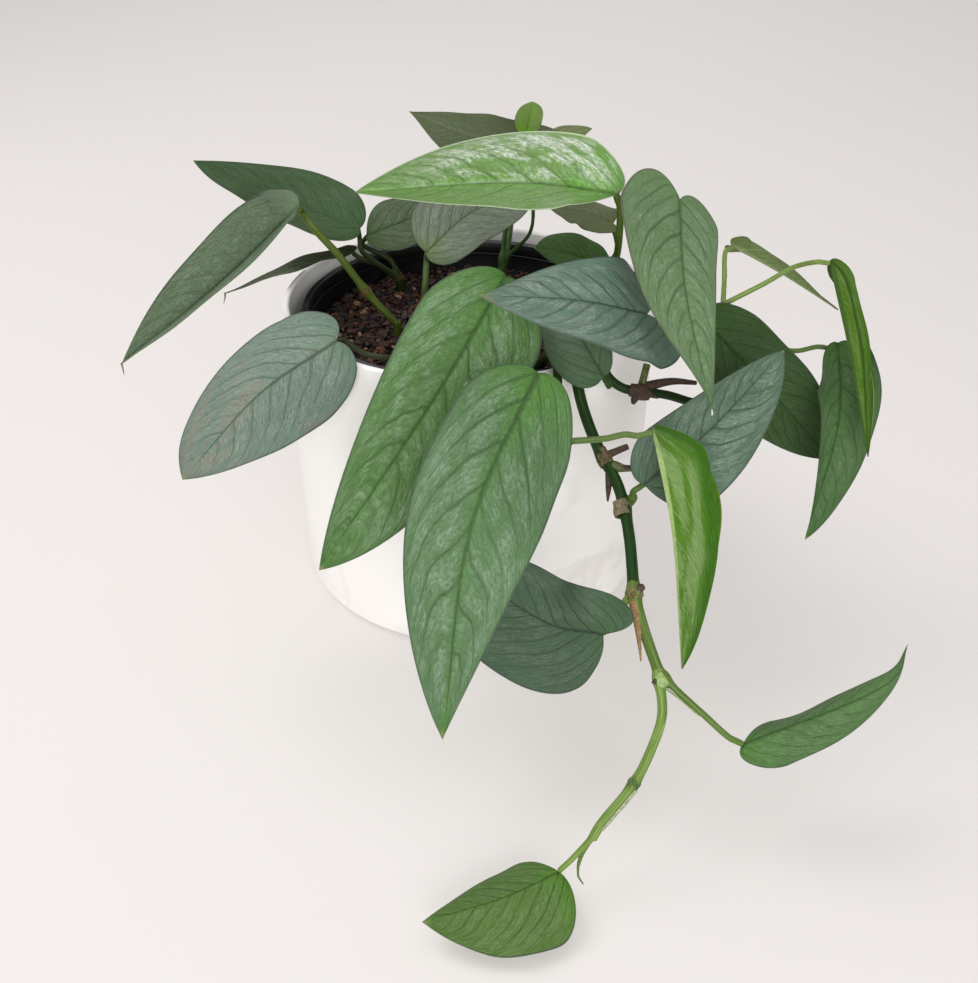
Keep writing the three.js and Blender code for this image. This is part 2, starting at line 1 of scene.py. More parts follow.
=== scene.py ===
# %% [markdown]
# # A trailing aroid in its pots
# The plant has blue-green, spear-shaped leaves on long vines. It grows in a black nursery pot, and that pot
# stands in a plain white cover pot. The solids of the pots, stems and leaves are already built and packed,
# and this lesson gives them their looks: fine meshes in the same places, and finishes made of shader nodes.

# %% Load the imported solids
import math
import random
from types import SimpleNamespace
import bpy
import numpy as np
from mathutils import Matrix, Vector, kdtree


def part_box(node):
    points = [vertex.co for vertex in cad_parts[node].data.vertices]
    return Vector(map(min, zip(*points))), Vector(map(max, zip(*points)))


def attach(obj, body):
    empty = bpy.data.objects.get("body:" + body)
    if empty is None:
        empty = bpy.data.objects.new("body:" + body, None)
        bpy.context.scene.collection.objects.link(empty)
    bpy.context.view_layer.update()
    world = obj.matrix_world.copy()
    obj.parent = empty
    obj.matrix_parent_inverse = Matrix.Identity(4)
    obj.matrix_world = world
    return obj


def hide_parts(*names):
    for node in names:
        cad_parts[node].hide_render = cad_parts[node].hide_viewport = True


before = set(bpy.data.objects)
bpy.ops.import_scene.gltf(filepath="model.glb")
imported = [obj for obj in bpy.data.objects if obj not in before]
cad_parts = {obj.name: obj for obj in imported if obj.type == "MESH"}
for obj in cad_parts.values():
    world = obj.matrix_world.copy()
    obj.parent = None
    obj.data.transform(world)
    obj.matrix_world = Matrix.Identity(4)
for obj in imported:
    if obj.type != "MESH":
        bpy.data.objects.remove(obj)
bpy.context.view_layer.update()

# %% [markdown]
# ## Small helpers
# Blender works in metres and the plant is easier to think of in millimetres, so lengths are written in
# millimetres and multiplied by MM once. An operator acts on everything that is selected, so a helper clears
# the selection before each new piece.

# %% Helpers for pieces
MM = 0.001
BODY = "root"
pieces_made = []


def clear_selection():
    bpy.ops.object.select_all(action="DESELECT")


def select_only(*objects):
    clear_selection()
    for item in objects:
        item.select_set(True)
    bpy.context.view_layer.objects.active = objects[0]


def new_piece(name):
    """The primitive or joined object that was just made, under its own name."""
    piece = bpy.context.object
    piece.name = name
    piece.data.name = name
    return piece


def apply_modifiers(piece):
    select_only(piece)
    for modifier in list(piece.modifiers):
        bpy.ops.object.modifier_apply(modifier=modifier.name)


def shade(piece, angle):
    """Smooth faces, with a crisp edge wherever two faces meet at more than the angle in degrees."""
    select_only(piece)
    bpy.ops.object.shade_smooth_by_angle(angle=math.radians(angle))


def corners_of(piece):
    return np.array([vertex.co[:] for vertex in piece.data.vertices])


def move_corners(piece, places):
    """Puts each vertex at its place, given in millimetres."""
    piece.data.vertices.foreach_set("co", (places * MM).astype(np.float32).ravel())


def write_attribute(mesh, name, values):
    """One number or one vector for each vertex, which a finish can read by name."""
    values = np.asarray(values, np.float32)
    kind, field = ("FLOAT_VECTOR", "vector") if values.ndim == 2 else ("FLOAT", "value")
    mesh.attributes.new(name, kind, "POINT").data.foreach_set(field, values.ravel())


def count_triangles(piece):
    return sum(len(face.vertices) - 2 for face in piece.data.polygons)


def finish_piece(piece, material, node=None):
    """Puts the place in the mesh, hangs the piece on the body and hides the solid that it stands for."""
    select_only(piece)
    bpy.ops.object.transform_apply(location=True, rotation=True, scale=True)
    piece.data.materials.clear()
    piece.data.materials.append(material)
    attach(piece, BODY)
    if node:
        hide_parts(node)
    pieces_made.append(piece)
    print(f"{piece.name}: {count_triangles(piece)} triangles")


# %% [markdown]
# ## Camera
# A portrait of a plant needs one good viewpoint. Level with the pot, the front leaves would hide the mix
# and each other. From arm's length and looking down, the camera sees into the pot and meets most leaves
# face on.

# %% Camera
FRAME_HEIGHT = 983
LENS_PIXELS = 1085
SENSOR = 36
CAMERA_PLACE = (0.009, -0.465, 0.343)
CAMERA_TILT = math.radians(56)
bpy.ops.object.camera_add(location=CAMERA_PLACE, rotation=(CAMERA_TILT, 0, 0))
camera = bpy.context.object
camera.data.lens = SENSOR * LENS_PIXELS / FRAME_HEIGHT
camera.data.sensor_width = SENSOR
bpy.context.scene.camera = camera
print("camera lens:", round(camera.data.lens, 2), "mm")

# %% [markdown]
# ## Floor and lamps
# Leaves are thin and satin, and a small hard lamp would cut them up into glare and black shade. An even sky
# alone would be soft, but flat. So a little sky is mixed with four broad disks: a window above and to the
# left that gives the leaves their sheen, one overhead that reaches into the pot, a large one in front that
# lights the undersides, and one that lights the floor far behind the plant.

# %% Floor and lamps
LAMPS = {
    "window": dict(
        place=(-0.75, 0.15, 1.25), aim=(0, -0.03, 0.1), size=1.0, power=10.0, tint=(1.0, 0.99, 0.98)),
    "ceiling": dict(
        place=(0.15, -0.25, 1.6), aim=(0, -0.05, 0.1), size=1.6, power=5.3, tint=(1.0, 0.99, 0.985)),
    "far floor": dict(
        place=(0.0, 1.7, 1.2), aim=(0, 2.0, 0), size=1.6, power=5.0, tint=(1.0, 0.985, 0.98)),
    "front": dict(
        place=(0.2, -1.6, 0.55), aim=(0, -0.05, 0.1), size=1.4, power=23.0, tint=(1.0, 0.985, 0.98)),
}
ROOM_COLOR = (0.93, 0.92, 0.915, 1.0)
ROOM_STRENGTH = 0.44
FLOOR_SIZE = 9.0
FLOOR_DROP = 0.0004


def add_lamp(name, place, aim, size, power, tint):
    """A disk lamp, in metres and watts, turned so that it shines at its aim."""
    bpy.ops.object.light_add(type="AREA", location=place)
    light = bpy.context.object
    light.name = name
    light.data.shape = "DISK"
    light.data.size = size
    light.data.energy = power
    light.data.color = tint
    heading = np.array(aim, float) - np.array(place, float)
    flat = math.hypot(heading[0], heading[1])
    light.rotation_euler = (math.atan2(flat, -heading[2]), 0, math.atan2(-heading[0], heading[1]))


for name, settings in LAMPS.items():
    add_lamp(name, **settings)
world = bpy.data.worlds.new("soft room")
world.use_nodes = True
sky = world.node_tree.nodes["Background"]
sky.inputs["Color"].default_value = ROOM_COLOR
sky.inputs["Strength"].default_value = ROOM_STRENGTH
bpy.context.scene.world = world
bpy.context.scene.view_settings.view_transform = "Standard"
clear_selection()
bpy.ops.mesh.primitive_plane_add(size=FLOOR_SIZE, location=(0, 0, -FLOOR_DROP))
floor = new_piece("floor")
print("lamps:", len(LAMPS), "floor:", FLOOR_SIZE, "m across")

# %% [markdown]
# ## Shader maths in plain Python
# A finish is a network of nodes, and maths on its sockets is easier to read as an expression. The class
# below wraps one output socket and overloads Python's operators, so that `1 - mask * 2` adds two Math
# nodes.

# %% The wire
class Wire:
    """One output socket of a finish."""

    def __init__(self, finish, socket):
        self.finish = finish
        self.socket = socket

    def maths(self, operation, *terms):
        sockets = dict(enumerate(terms))
        return self.finish.node("ShaderNodeMath", {"operation": operation}, sockets)

    def __add__(self, other):
        return self.maths("ADD", self, other)

    def __radd__(self, other):
        return self.maths("ADD", other, self)

    def __sub__(self, other):
        return self.maths("SUBTRACT", self, other)

    def __rsub__(self, other):
        return self.maths("SUBTRACT", other, self)

    def __mul__(self, other):
        return self.maths("MULTIPLY", self, other)

    def __rmul__(self, other):
        return self.maths("MULTIPLY", other, self)

    def __truediv__(self, other):
        return self.maths("DIVIDE", self, other)

    def __pow__(self, other):
        return self.maths("POWER", self, other)

    def __gt__(self, other):
        return self.maths("GREATER_THAN", self, other)

    def __abs__(self):
        return self.maths("ABSOLUTE", self)

    def fraction(self):
        return self.maths("FRACT", self)

    def sine(self):
        return self.maths("SINE", self)

    def smooth(self, low, high):
        """0 at low, 1 at high and a soft step between. Low may be the larger number."""
        settings = {"interpolation_type": "SMOOTHSTEP"}
        sockets = {"Value": self, "From Min": low, "From Max": high}
        return self.finish.node("ShaderNodeMapRange", settings, sockets)


print("wire ready")

# %% [markdown]
# ### Any other node
# Noise, ramps, mixes and bumps aren't arithmetic. They all come from one method, which takes the type of a
# node, its settings and what goes into its sockets, and the short methods under it name the usual ones.


# %% The finish
class Finish:
    """A material made of nodes."""

    def __init__(self, name, roughness=0.5, **constants):
        self.material = bpy.data.materials.new(name)
        self.material.use_nodes = True
        self.tree = self.material.node_tree
        self.shader = self.tree.nodes["Principled BSDF"]
        self.shader.inputs["Roughness"].default_value = roughness
        for socket, value in constants.items():
            self.shader.inputs[socket.replace("_", " ")].default_value = value

    def node(self, kind, settings, sockets, output=0):
        made = self.tree.nodes.new(kind)
        for key, value in settings.items():
            if key == "stops":
                self.set_stops(made.color_ramp, value)
            else:
                setattr(made, key, value)
        for key, value in sockets.items():
            self.feed(made.inputs[key], value)
        return Wire(self, made.outputs[output])

    def feed(self, socket, value):
        if isinstance(value, Wire):
            self.tree.links.new(value.socket, socket)
        else:
            socket.default_value = value

    def set_stops(self, ramp, stops):
        while len(ramp.elements) < len(stops):
            ramp.elements.new(1.0)
        for element, (place, color) in zip(ramp.elements, stops):
            element.position = place
            element.color = color

    def mix(self, mask, low, high):
        """Colour low where the mask is 0 and colour high where it is 1."""
        sockets = {"Factor": mask, 6: low, 7: high}
        return self.node("ShaderNodeMix", {"data_type": "RGBA"}, sockets, output=2)

    def layer(self, base, layers):
        """Colours laid over a base one after another, each where its mask is 1."""
        for mask, color in layers:
            base = self.mix(mask, base, color)
        return base

    def noise(self, where, scale, detail=2.0, rough=0.5, output=0):
        sockets = {"Vector": where, "Scale": scale, "Detail": detail, "Roughness": rough}
        return self.node("ShaderNodeTexNoise", {}, sockets, output)

    def vectors(self, operation, *parts):
        return self.node("ShaderNodeVectorMath", {"operation": operation}, dict(enumerate(parts)))

    def place(self):
        return self.node("ShaderNodeTexCoord", {}, {}, output="Object")

    def attribute(self, name, output="Fac"):
        return self.node("ShaderNodeAttribute", {"attribute_name": name}, {}, output)

    def combine(self, x, y, z):
        return self.node("ShaderNodeCombineXYZ", {}, {"X": x, "Y": y, "Z": z})

    def separate(self, vector):
        parts = self.tree.nodes.new("ShaderNodeSeparateXYZ")
        self.feed(parts.inputs[0], vector)
        return [Wire(self, parts.outputs[k]) for k in range(3)]

    def bump(self, height, distance, strength=1.0):
        sockets = {"Height": height, "Distance": distance, "Strength": strength}
        self.feed(self.shader.inputs["Normal"], self.node("ShaderNodeBump", {}, sockets))

    def color(self, wire):
        self.feed(self.shader.inputs["Base Color"], wire)

    def roughness(self, wire):
        self.feed(self.shader.inputs["Roughness"], wire)


print("finish ready")

# %% [markdown]
# ### Colours
# A colour is easiest to name as a screen shows it, in six hex digits, but a shader works in linear light.
# One function turns the first into the second, and another darkens, tints or lifts a colour that exists.


# %% Paint
def paint(code):
    """A colour as on screen, such as "5a8c62", as the linear numbers that a shader takes."""
    channels = [int(code[k:k + 2], 16) / 255 for k in (0, 2, 4)]
    linear = [c / 12.92 if c <= 0.04045 else ((c + 0.055) / 1.055) ** 2.4 for c in channels]
    return (*linear, 1.0)


def scaled(color, factors, lift=0.0):
    """A colour with its channels multiplied, and lifted towards white."""
    return tuple(min(1.0, c * k + lift) for c, k in zip(color, factors)) + (1.0,)


print("mid grey in linear light:", round(paint("808080")[0], 3))

# %% [markdown]
# ## The floor's finish
# The floor isn't part of the plant. A white floor could simply be lit more, but then the lamps would burn
# out the white pot as well. So it is a pale, matt tabletop that glows a little, like a light table, and the
# shadow on it stays soft.

# %% Floor finish
GLOW = dict(Emission_Strength=0.36, Emission_Color=paint("f6f1ee"))
tabletop = Finish("pale tabletop", roughness=0.6, **GLOW)
haze = tabletop.noise(tabletop.place(), 2.5, 3.0)
tabletop.color(tabletop.mix(haze, paint("b4b0ae"), paint("b0adab")))
floor.data.materials.append(tabletop.material)
print("floor finish:", tabletop.material.name)

# %% [markdown]
# ## Round things from a profile
# A pot is thrown or moulded round its own axis, so its profile says everything. A cylinder could be
# bevelled into shape, but a profile gives the wall, rim and foot their true sizes. It is drawn as a chain
# of vertices and spun through a full turn. The seam is then merged, and the faces are made to point
# outwards.

# %% Spin a profile
MERGE_REACH = 1e-6


def spin_profile(name, profile, steps):
    """A closed body of revolution from a profile: from the axis, round the outside, back to the axis."""
    clear_selection()
    bpy.ops.mesh.primitive_circle_add(vertices=len(profile), radius=MM, location=(0, 0, 0))
    piece = new_piece(name)
    for vertex, (radius, height) in zip(piece.data.vertices, profile):
        vertex.co = (radius * MM, 0, height * MM)
    bpy.ops.object.mode_set(mode="EDIT")
    bpy.ops.mesh.select_all(action="SELECT")
    bpy.ops.mesh.spin(steps=steps, angle=2 * math.pi, center=(0, 0, 0), axis=(0, 0, 1))
    bpy.ops.mesh.select_all(action="SELECT")
    bpy.ops.mesh.remove_doubles(threshold=MERGE_REACH)
    bpy.ops.mesh.delete_loose()
    bpy.ops.mesh.select_all(action="SELECT")
    bpy.ops.mesh.normals_make_consistent(inside=False)
    bpy.ops.object.mode_set(mode="OBJECT")
    return piece


def arc(center, radius, start, end, count):
    """Points of a circular arc in a profile, with its angles in degrees."""
    angles = np.radians(np.linspace(start, end, count))
    return [(center[0] + radius * math.cos(a), center[1] + radius * math.sin(a)) for a in angles]


print("profile tools ready")

# %% [markdown]
# ## The cover pot
# The outer pot is a plain, thin-walled white cylinder. Its rim and its foot are slightly rounded, which is
# what catches the light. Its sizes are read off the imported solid, so the two can't drift apart.

# %% Cover pot
cover_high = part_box("cover_pot")[1]
COVER_RADIUS = cover_high.x / MM
COVER_HEIGHT = cover_high.z / MM
COVER_WALL = 3.0
COVER_FLOOR = 5.0
COVER_CORNER = 3
COVER_RIM = COVER_WALL / 2
cover_inside = COVER_RADIUS - COVER_WALL
cover_profile = [(0, 0), (COVER_RADIUS - COVER_CORNER, 0)]
cover_profile += arc((COVER_RADIUS - COVER_CORNER, COVER_CORNER), COVER_CORNER, -75, 0, 5)
cover_profile += [(COVER_RADIUS, COVER_HEIGHT * share) for share in (0.25, 0.5, 0.75)]
cover_profile += arc((COVER_RADIUS - COVER_RIM, COVER_HEIGHT - COVER_RIM), COVER_RIM, 0, 180, 11)
cover_profile += [(cover_inside, COVER_HEIGHT * share) for share in (0.75, 0.5, 0.25)]
cover_profile += arc((cover_inside - COVER_CORNER, COVER_FLOOR + COVER_CORNER), COVER_CORNER, 0, -90, 5)
cover_profile += [(0, COVER_FLOOR)]
cover_pot = spin_profile("cover_pot_glazed", cover_profile, 160)
shade(cover_pot, 50)

# %% [markdown]
# ### The glaze
# The glaze is satin white with very faint grey marbling. Marbling could be painted, but a noise whose
# coordinates are bent by another noise gives the same drifting veins, and it has no seam round a pot.

# %% Cover pot finish
SWIRL = (0.09, 0.09, 0.09)
glaze = Finish("satin white with faint marbling", roughness=0.38)
place = glaze.place()
drift = glaze.noise(place, 9.0, 3.0, output=1)
swirl = glaze.vectors("MULTIPLY_ADD", drift, SWIRL, place)
cloud = glaze.noise(swirl, 14.0, 4.0, 0.55)
streak = (1 - abs(cloud - 0.5) / 0.05).smooth(0.0, 1.0)
patch = glaze.noise(place, 6.0, 2.0).smooth(0.42, 0.72)
white = glaze.mix(patch, paint("f6f4f2"), paint("eeebe9"))
glaze.color(glaze.mix(streak * patch * 0.55, white, paint("d2cecc")))
glaze.roughness(0.34 + patch * 0.1)
glaze.bump(glaze.noise(place, 400.0, 2.0), 0.00006, 0.4)
finish_piece(cover_pot, glaze.material, "cover_pot")

# %% [markdown]
# ## The nursery pot
# The grower's pot is thin black plastic. Its wall leans outwards, and its rolled lip is what shows, just
# under the rim of the cover pot. Like the cover pot it is spun, from a profile that follows the lip.

# %% Nursery pot
nursery_low, nursery_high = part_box("nursery_pot")
LIP_RADIUS = nursery_high.x / MM
LIP_TOP = nursery_high.z / MM
NURSERY_FOOT = nursery_low.z / MM
LIP_SKIRT = 7.0
LIP_ROUND = 0.9
NURSERY_WALL = 1.6
NURSERY_FLOOR = 2
NURSERY_TOP_RADIUS = LIP_RADIUS - 2
NURSERY_FOOT_RADIUS = NURSERY_TOP_RADIUS - 18


def nursery_inside(height):
    """Radius of the nursery pot's inner face at a height."""
    share = (height - NURSERY_FOOT) / (LIP_TOP - LIP_SKIRT - NURSERY_FOOT)
    return NURSERY_FOOT_RADIUS - NURSERY_WALL + (NURSERY_TOP_RADIUS - NURSERY_FOOT_RADIUS) * share


under_lip = LIP_TOP - LIP_SKIRT
inside_floor = NURSERY_FOOT + NURSERY_FLOOR
nursery_profile = [(0, NURSERY_FOOT), (NURSERY_FOOT_RADIUS - 2, NURSERY_FOOT)]
nursery_profile += [(NURSERY_FOOT_RADIUS, NURSERY_FOOT + 2), (NURSERY_TOP_RADIUS, under_lip)]
nursery_profile += [(LIP_RADIUS - 0.5, under_lip), (LIP_RADIUS, under_lip + 0.5)]
nursery_profile += arc((LIP_RADIUS - LIP_ROUND, LIP_TOP - LIP_ROUND), LIP_ROUND, 0, 120, 6)
nursery_profile += [(LIP_RADIUS - 2.0, LIP_TOP - 0.7)]
nursery_profile += arc((LIP_RADIUS - 2.8, LIP_TOP - LIP_ROUND), 0.5, 60, 170, 5)
nursery_profile += [(nursery_inside(under_lip) - 0.2, LIP_TOP - 3.2)]
nursery_profile += arc((nursery_inside(under_lip) - 0.5, under_lip + 1.2), 0.6, 60, -60, 5)
inner_heights = (under_lip - 1.5, under_lip - 5, NURSERY_FOOT + 60, NURSERY_FOOT + 3)
nursery_profile += [(nursery_inside(height), height) for height in inner_heights]
nursery_profile += [(nursery_inside(NURSERY_FOOT + 3) - 1.2, inside_floor), (0, inside_floor)]
nursery_pot = spin_profile("nursery_pot_moulded", nursery_profile, 144)
print("nursery pot:", round(2 * LIP_RADIUS, 1), "mm across its lip")

# %% [markdown]
# ### Drainage holes
# Water leaves through six round holes in the floor. A spun profile can only leave out what runs all the way
# round, so the holes are drilled: six cylinders are joined and taken away with one Boolean.

# %% Drainage holes
DRAIN_COUNT = 6
DRAIN_RADIUS = 5.0
DRAIN_RING = 36.0
DRILL_LENGTH = 12
clear_selection()
drills = []
for k in range(DRAIN_COUNT):
    angle = 2 * math.pi * k / DRAIN_COUNT
    spot = (DRAIN_RING * MM * math.cos(angle), DRAIN_RING * MM * math.sin(angle), NURSERY_FOOT * MM)
    bpy.ops.mesh.primitive_cylinder_add(
        vertices=32, radius=DRAIN_RADIUS * MM, depth=DRILL_LENGTH * MM, location=spot)
    drills.append(new_piece(f"drill_{k}"))
select_only(*drills)
bpy.ops.object.join()
drill = bpy.context.object
cut = nursery_pot.modifiers.new("holes", "BOOLEAN")
cut.object = drill
cut.operation = "DIFFERENCE"
cut.solver = "EXACT"
apply_modifiers(nursery_pot)
bpy.data.objects.remove(drill)
shade(nursery_pot, 35)
print("drainage holes:", DRAIN_COUNT)

# %% [markdown]
# ### Black plastic
# Moulded plastic is black, half matt and a little dusty, and the mould leaves fine rings round it. The
# rings are too fine to model. A sine of the height, used as a bump, draws them.

# %% Nursery pot finish
RING_RATE = 4200.0
plastic = Finish("black pot plastic", roughness=0.42)
place = plastic.place()
dust = plastic.noise(place, 60.0, 4.0, 0.6).smooth(0.5, 0.75)
rings = (plastic.separate(place)[2] * RING_RATE).sine()
plastic.color(plastic.mix(dust * 0.5, paint("0c0d0e"), paint("232221")))
plastic.roughness(0.36 + dust * 0.25)
plastic.bump(rings * 0.3 + plastic.noise(place, 900.0, 2.0), 0.00005, 0.5)
finish_piece(nursery_pot, plastic.material, "nursery_pot")

# %% [markdown]
# ## Where the stems stand
# Each stem goes straight down into a plain hole in the potting mix. The chips of the mix have to leave room
# for them, so the places and radii of the stems come first.

# %% Stem places
MIX_TOP = 123.0
STEM_DEPTH = 22.0
HOLES = {
    "left_vine": ((-33, -9), 1.8),
    "back_left_vine": ((-35, 42), 2.0),
    "inner_vine": ((-22, 14), 1.6),
    "back_vine": ((15, 36), 2.0),
    "top_vine": ((56, 0), 2.0),
    "right_upright_vine": ((58, -22), 2.0),
    "over_front_vine": ((30, -50), 2.0),
    "trailing_vine": ((40, -34), 2.4),
    "right_vine": ((50, -38), 2.1),
    "front_vine": ((-14, -40), 2.0),
}
print("stems:", len(HOLES))

# %% [markdown]
# ## The potting mix
# The mix is bark and coco husk, broken into chips of a few millimetres. Chips alone would leave gaps down
# to the floor of the pot, so under them lies one body of mix with an uneven top, spun like the pots.

# %% Body of the mix
MIX_FOOT = NURSERY_FOOT + 2.3
MIX_UNEVEN = 0.6
MIX_SWELL = 0.5
mix_edge = nursery_inside(MIX_TOP) - 0.5
mix_profile = [(0, MIX_FOOT), (nursery_inside(MIX_FOOT) - 1.6, MIX_FOOT)]
mix_profile += [(nursery_inside(height) - 0.4, height) for height in (MIX_FOOT + 3, MIX_TOP - 5)]
mix_profile += [(mix_edge * share, MIX_TOP - 2.0) for share in np.linspace(1, 0, 26)]
mix_body = spin_profile("potting_mix_body", mix_profile, 96)
random.seed(7)
for vertex in mix_body.data.vertices:
    if vertex.co.z > (MIX_TOP - 3) * MM:
        swell = math.sin(vertex.co.x * 90) * math.cos(vertex.co.y * 75)
        vertex.co.z += (MIX_SWELL * swell + random.uniform(-MIX_UNEVEN, MIX_UNEVEN)) * MM
shade(mix_body, 60)

# %% [markdown]
# ### Chips, each shape modelled once
# A chip of bark is a small block with its corners worn off. It is made as by hand: a cube, cut once across
# each face, smoothed and shaken a little. Six shapes are enough, because no two copies will lie alike.

# %% Chip shapes
CHIP_SHAPES = 6


def make_chip(seed):
    clear_selection()
    bpy.ops.mesh.primitive_cube_add(size=1.0, location=(0, 0, 0))
    chip = new_piece(f"chip_{seed}")
    bpy.ops.object.mode_set(mode="EDIT")
    bpy.ops.mesh.select_all(action="SELECT")
    bpy.ops.mesh.subdivide(number_cuts=1, smoothness=0.35)
    bpy.ops.mesh.vertices_smooth(factor=0.4, repeat=1)
    bpy.ops.transform.vertex_random(offset=0.13, seed=seed)
    bpy.ops.object.mode_set(mode="OBJECT")
    return chip


chips = [make_chip(seed) for seed in range(1, CHIP_SHAPES + 1)]
chip_shapes = []
for chip in chips:
    chip_shapes.append((corners_of(chip), np.array([face.vertices[:] for face in chip.data.polygons])))
    bpy.data.objects.remove(chip)
print("chip shapes:", len(chip_shapes), "faces each:", len(chip_shapes[0][1]))

# %% [markdown]
# ### Scatter the chips
# The chips cover the mix at random, but none lies in a stem. Thousands of separate objects would be no use
# to anyone, so the copies are written into one mesh, each with its own turn, size and shade.

# %% Scatter the chips
CHIP_COUNT = 3400
CHIP_SIZE = np.array([2.2, 1.4, 0.9])
CHIP_LEAN = 0.35
STEM_ROOM = 0.4
draw = np.random.default_rng(41)


def turned(corners, spin, tilt, roll):
    """Corners turned about the upright axis after a tilt and a roll."""
    cs, ss = math.cos(spin), math.sin(spin)
    ct, st = math.cos(tilt), math.sin(tilt)
    cr, sr = math.cos(roll), math.sin(roll)
    upright = np.array([[cs, -ss, 0], [ss, cs, 0], [0, 0, 1]])
    tilting = np.array([[1, 0, 0], [0, ct, -st], [0, st, ct]])
    rolling = np.array([[cr, 0, sr], [0, 1, 0], [-sr, 0, cr]])
    return corners @ (upright @ tilting @ rolling).T


def meets_stem(spot, size):
    reach = STEM_ROOM + 1.1 * size
    return any(np.hypot(*(spot - at)) < radius + reach for at, radius in HOLES.values())


all_corners, all_faces, all_tints = [], [], []
count = 0
while len(all_corners) < CHIP_COUNT:
    reach = (mix_edge - 1.5) * math.sqrt(draw.random())
    angle = draw.uniform(0, 2 * math.pi)
    spot = np.array([reach * math.cos(angle), reach * math.sin(angle)])
    size = draw.uniform(0.65, 1.35) * draw.choice([1.0, 1.0, 1.0, 1.6])
    if meets_stem(spot, size):
        continue
    corners, faces = chip_shapes[draw.integers(len(chip_shapes))]
    corners = corners * CHIP_SIZE * size
    spin, tilt, roll = draw.uniform(0, 2 * math.pi), draw.normal(0, CHIP_LEAN), draw.normal(0, CHIP_LEAN)
    corners = turned(corners, spin, tilt, roll)
    height = MIX_TOP - 1.6 + draw.uniform(0, 2.4)
    all_corners.append((corners + np.array([spot[0], spot[1], height])) * MM)
    all_faces.append(faces + count)
    all_tints.append(np.full(len(corners), draw.random()))
    count += len(corners)
chip_mesh = bpy.data.meshes.new("potting_mix_chips")
chip_mesh.from_pydata(np.concatenate(all_corners).tolist(), [], np.concatenate(all_faces).tolist())
write_attribute(chip_mesh, "tint", np.concatenate(all_tints))
chip_layer = bpy.data.objects.new("potting_mix_chips", chip_mesh)
bpy.context.scene.collection.objects.link(chip_layer)
shade(chip_layer, 40)
print("chips:", len(all_corners))

# %% [markdown]
# ### Bark
# Bark chips run from almost black to straw, and most are dark red-brown. A texture could vary within a
# chip, but what the eye sees is that whole chips differ. So each chip carries one random number, and a ramp
# turns it into a colour. Fibres and damp patches go over it. The ramp is darker than the bark itself,
# because it also holds painted shade for the inside of the pot, and the body of mix between the chips is
# darker still, as painted shade in the gaps.


# %% Mix finishes
def bark_finish(name, tint_from_chips):
    bark = Finish(name, roughness=0.8)
    place = bark.place()
    fibres = bark.noise(bark.vectors("MULTIPLY", place, (1.0, 1.0, 0.4)), 900.0, 3.0, 0.6)
    damp = bark.noise(place, 55.0, 2.0).smooth(0.35, 0.7)
    # Without chip numbers the tint is kept low: the mix between the chips is darker, as painted shade in the
    # gaps.
    tint = bark.attribute("tint") if tint_from_chips else bark.noise(place, 500.0, 2.0) * 0.45
    # These stops are darker than bark in open light: they hold painted shade for the inside of the pot.
    stops = [(0.0, paint("0b0402")), (0.3, paint("1d0a04")), (0.6, paint("351508"))]
    stops += [(0.84, paint("572b14")), (0.97, paint("7d4f34")), (1.0, paint("a08767"))]
    base = bark.node("ShaderNodeValToRGB", {"stops": stops}, {"Fac": tint})
    grained = bark.mix(fibres.smooth(0.3, 0.75) * 0.45, base, paint("160a06"))
    bark.color(bark.mix(damp * 0.35, grained, paint("190b06")))
    bark.roughness(0.85 - damp * 0.3)
    bark.bump(fibres, 0.0003, 0.7)
    return bark.material


finish_piece(mix_body, bark_finish("mix between the chips, darkened as painted shade", False), "potting_mix")
finish_piece(chip_layer, bark_finish("bark and coco chips", True), None)

# %% [markdown]
# ## The shape of a leaf
# A leaf of this plant is a long spear with a small notch where the stalk joins it. Its rib is a smooth
# curve in space. Across the rib the two halves rise like a shallow valley, ripple a little and droop at the
# margin. It could be sculpted leaf by leaf. Here one formula gives any point of any blade from two numbers:
# how far it lies along the rib, x, and how far off the rib, w, where 1 is the widest half width. The packed
# solids come from the same formula, with few faces.

# %% Curves in space
ROUTE_STEPS = 60


def smooth_route(corners, count):
    """Evenly spaced points on the centripetal Catmull-Rom curve through the corners, and its length."""
    p = np.array(corners, float)
    p = np.vstack([2 * p[0] - p[1], p, 2 * p[-1] - p[-2]])
    share = np.linspace(0, 1, ROUTE_STEPS)[:, None]
    fine = []
    for a, b, c, d in zip(p, p[1:], p[2:], p[3:]):
        before, here, after = (math.sqrt(np.linalg.norm(q)) for q in (b - a, c - b, d - c))
        leave = ((b - a) / before - (c - a) / (before + here) + (c - b) / here) * here
        arrive = ((c - b) / here - (d - b) / (here + after) + (d - c) / after) * here
        bend = 2 * (b - c) + leave + arrive
        fine.append(b + leave * share + (3 * (c - b) - 2 * leave - arrive) * share**2 + bend * share**3)
    fine = np.vstack([fine[0]] + [part[1:] for part in fine[1:]])
    lengths = np.concatenate([[0], np.cumsum(np.linalg.norm(np.diff(fine, axis=0), axis=1))])
    wanted = np.linspace(0, lengths[-1], count)
    return np.column_stack([np.interp(wanted, lengths, fine[:, k]) for k in range(3)]), lengths[-1]


def unit(vectors):
    vectors = np.asarray(vectors, float)
    return vectors / np.linalg.norm(vectors, axis=-1, keepdims=True)


def sample(table, share):
    """Rows of a table read at shares from 0 to 1 along it."""
    index = np.clip(share, 0, 1) * (len(table) - 1)
    low = np.minimum(index.astype(int), len(table) - 2)
    part = (index - low)[:, None]
    return table[low] * (1 - part) + table[low + 1] * part


def spread_over(values, count):
    """A few values read evenly at count places."""
    return np.interp(np.linspace(0, 1, count), np.linspace(0, 1, len(values)), values)


route, length = smooth_route([(0, 0, 0), (30, 20, 0), (60, 0, 0)], 5)
print("a curve of", round(length, 1), "mm")

# %% [markdown]
# ### Outline and veins
# Half of the outline is two Bézier curves, one round the lobe and one out to the drip tip. The side veins
# leave the rib at about forty degrees, spread a little, and then run forward along the margin to meet the
# next vein. The number `vein_phase` grows by one from vein to vein, so the relief of the mesh and the
# drawing in the shader can share it.

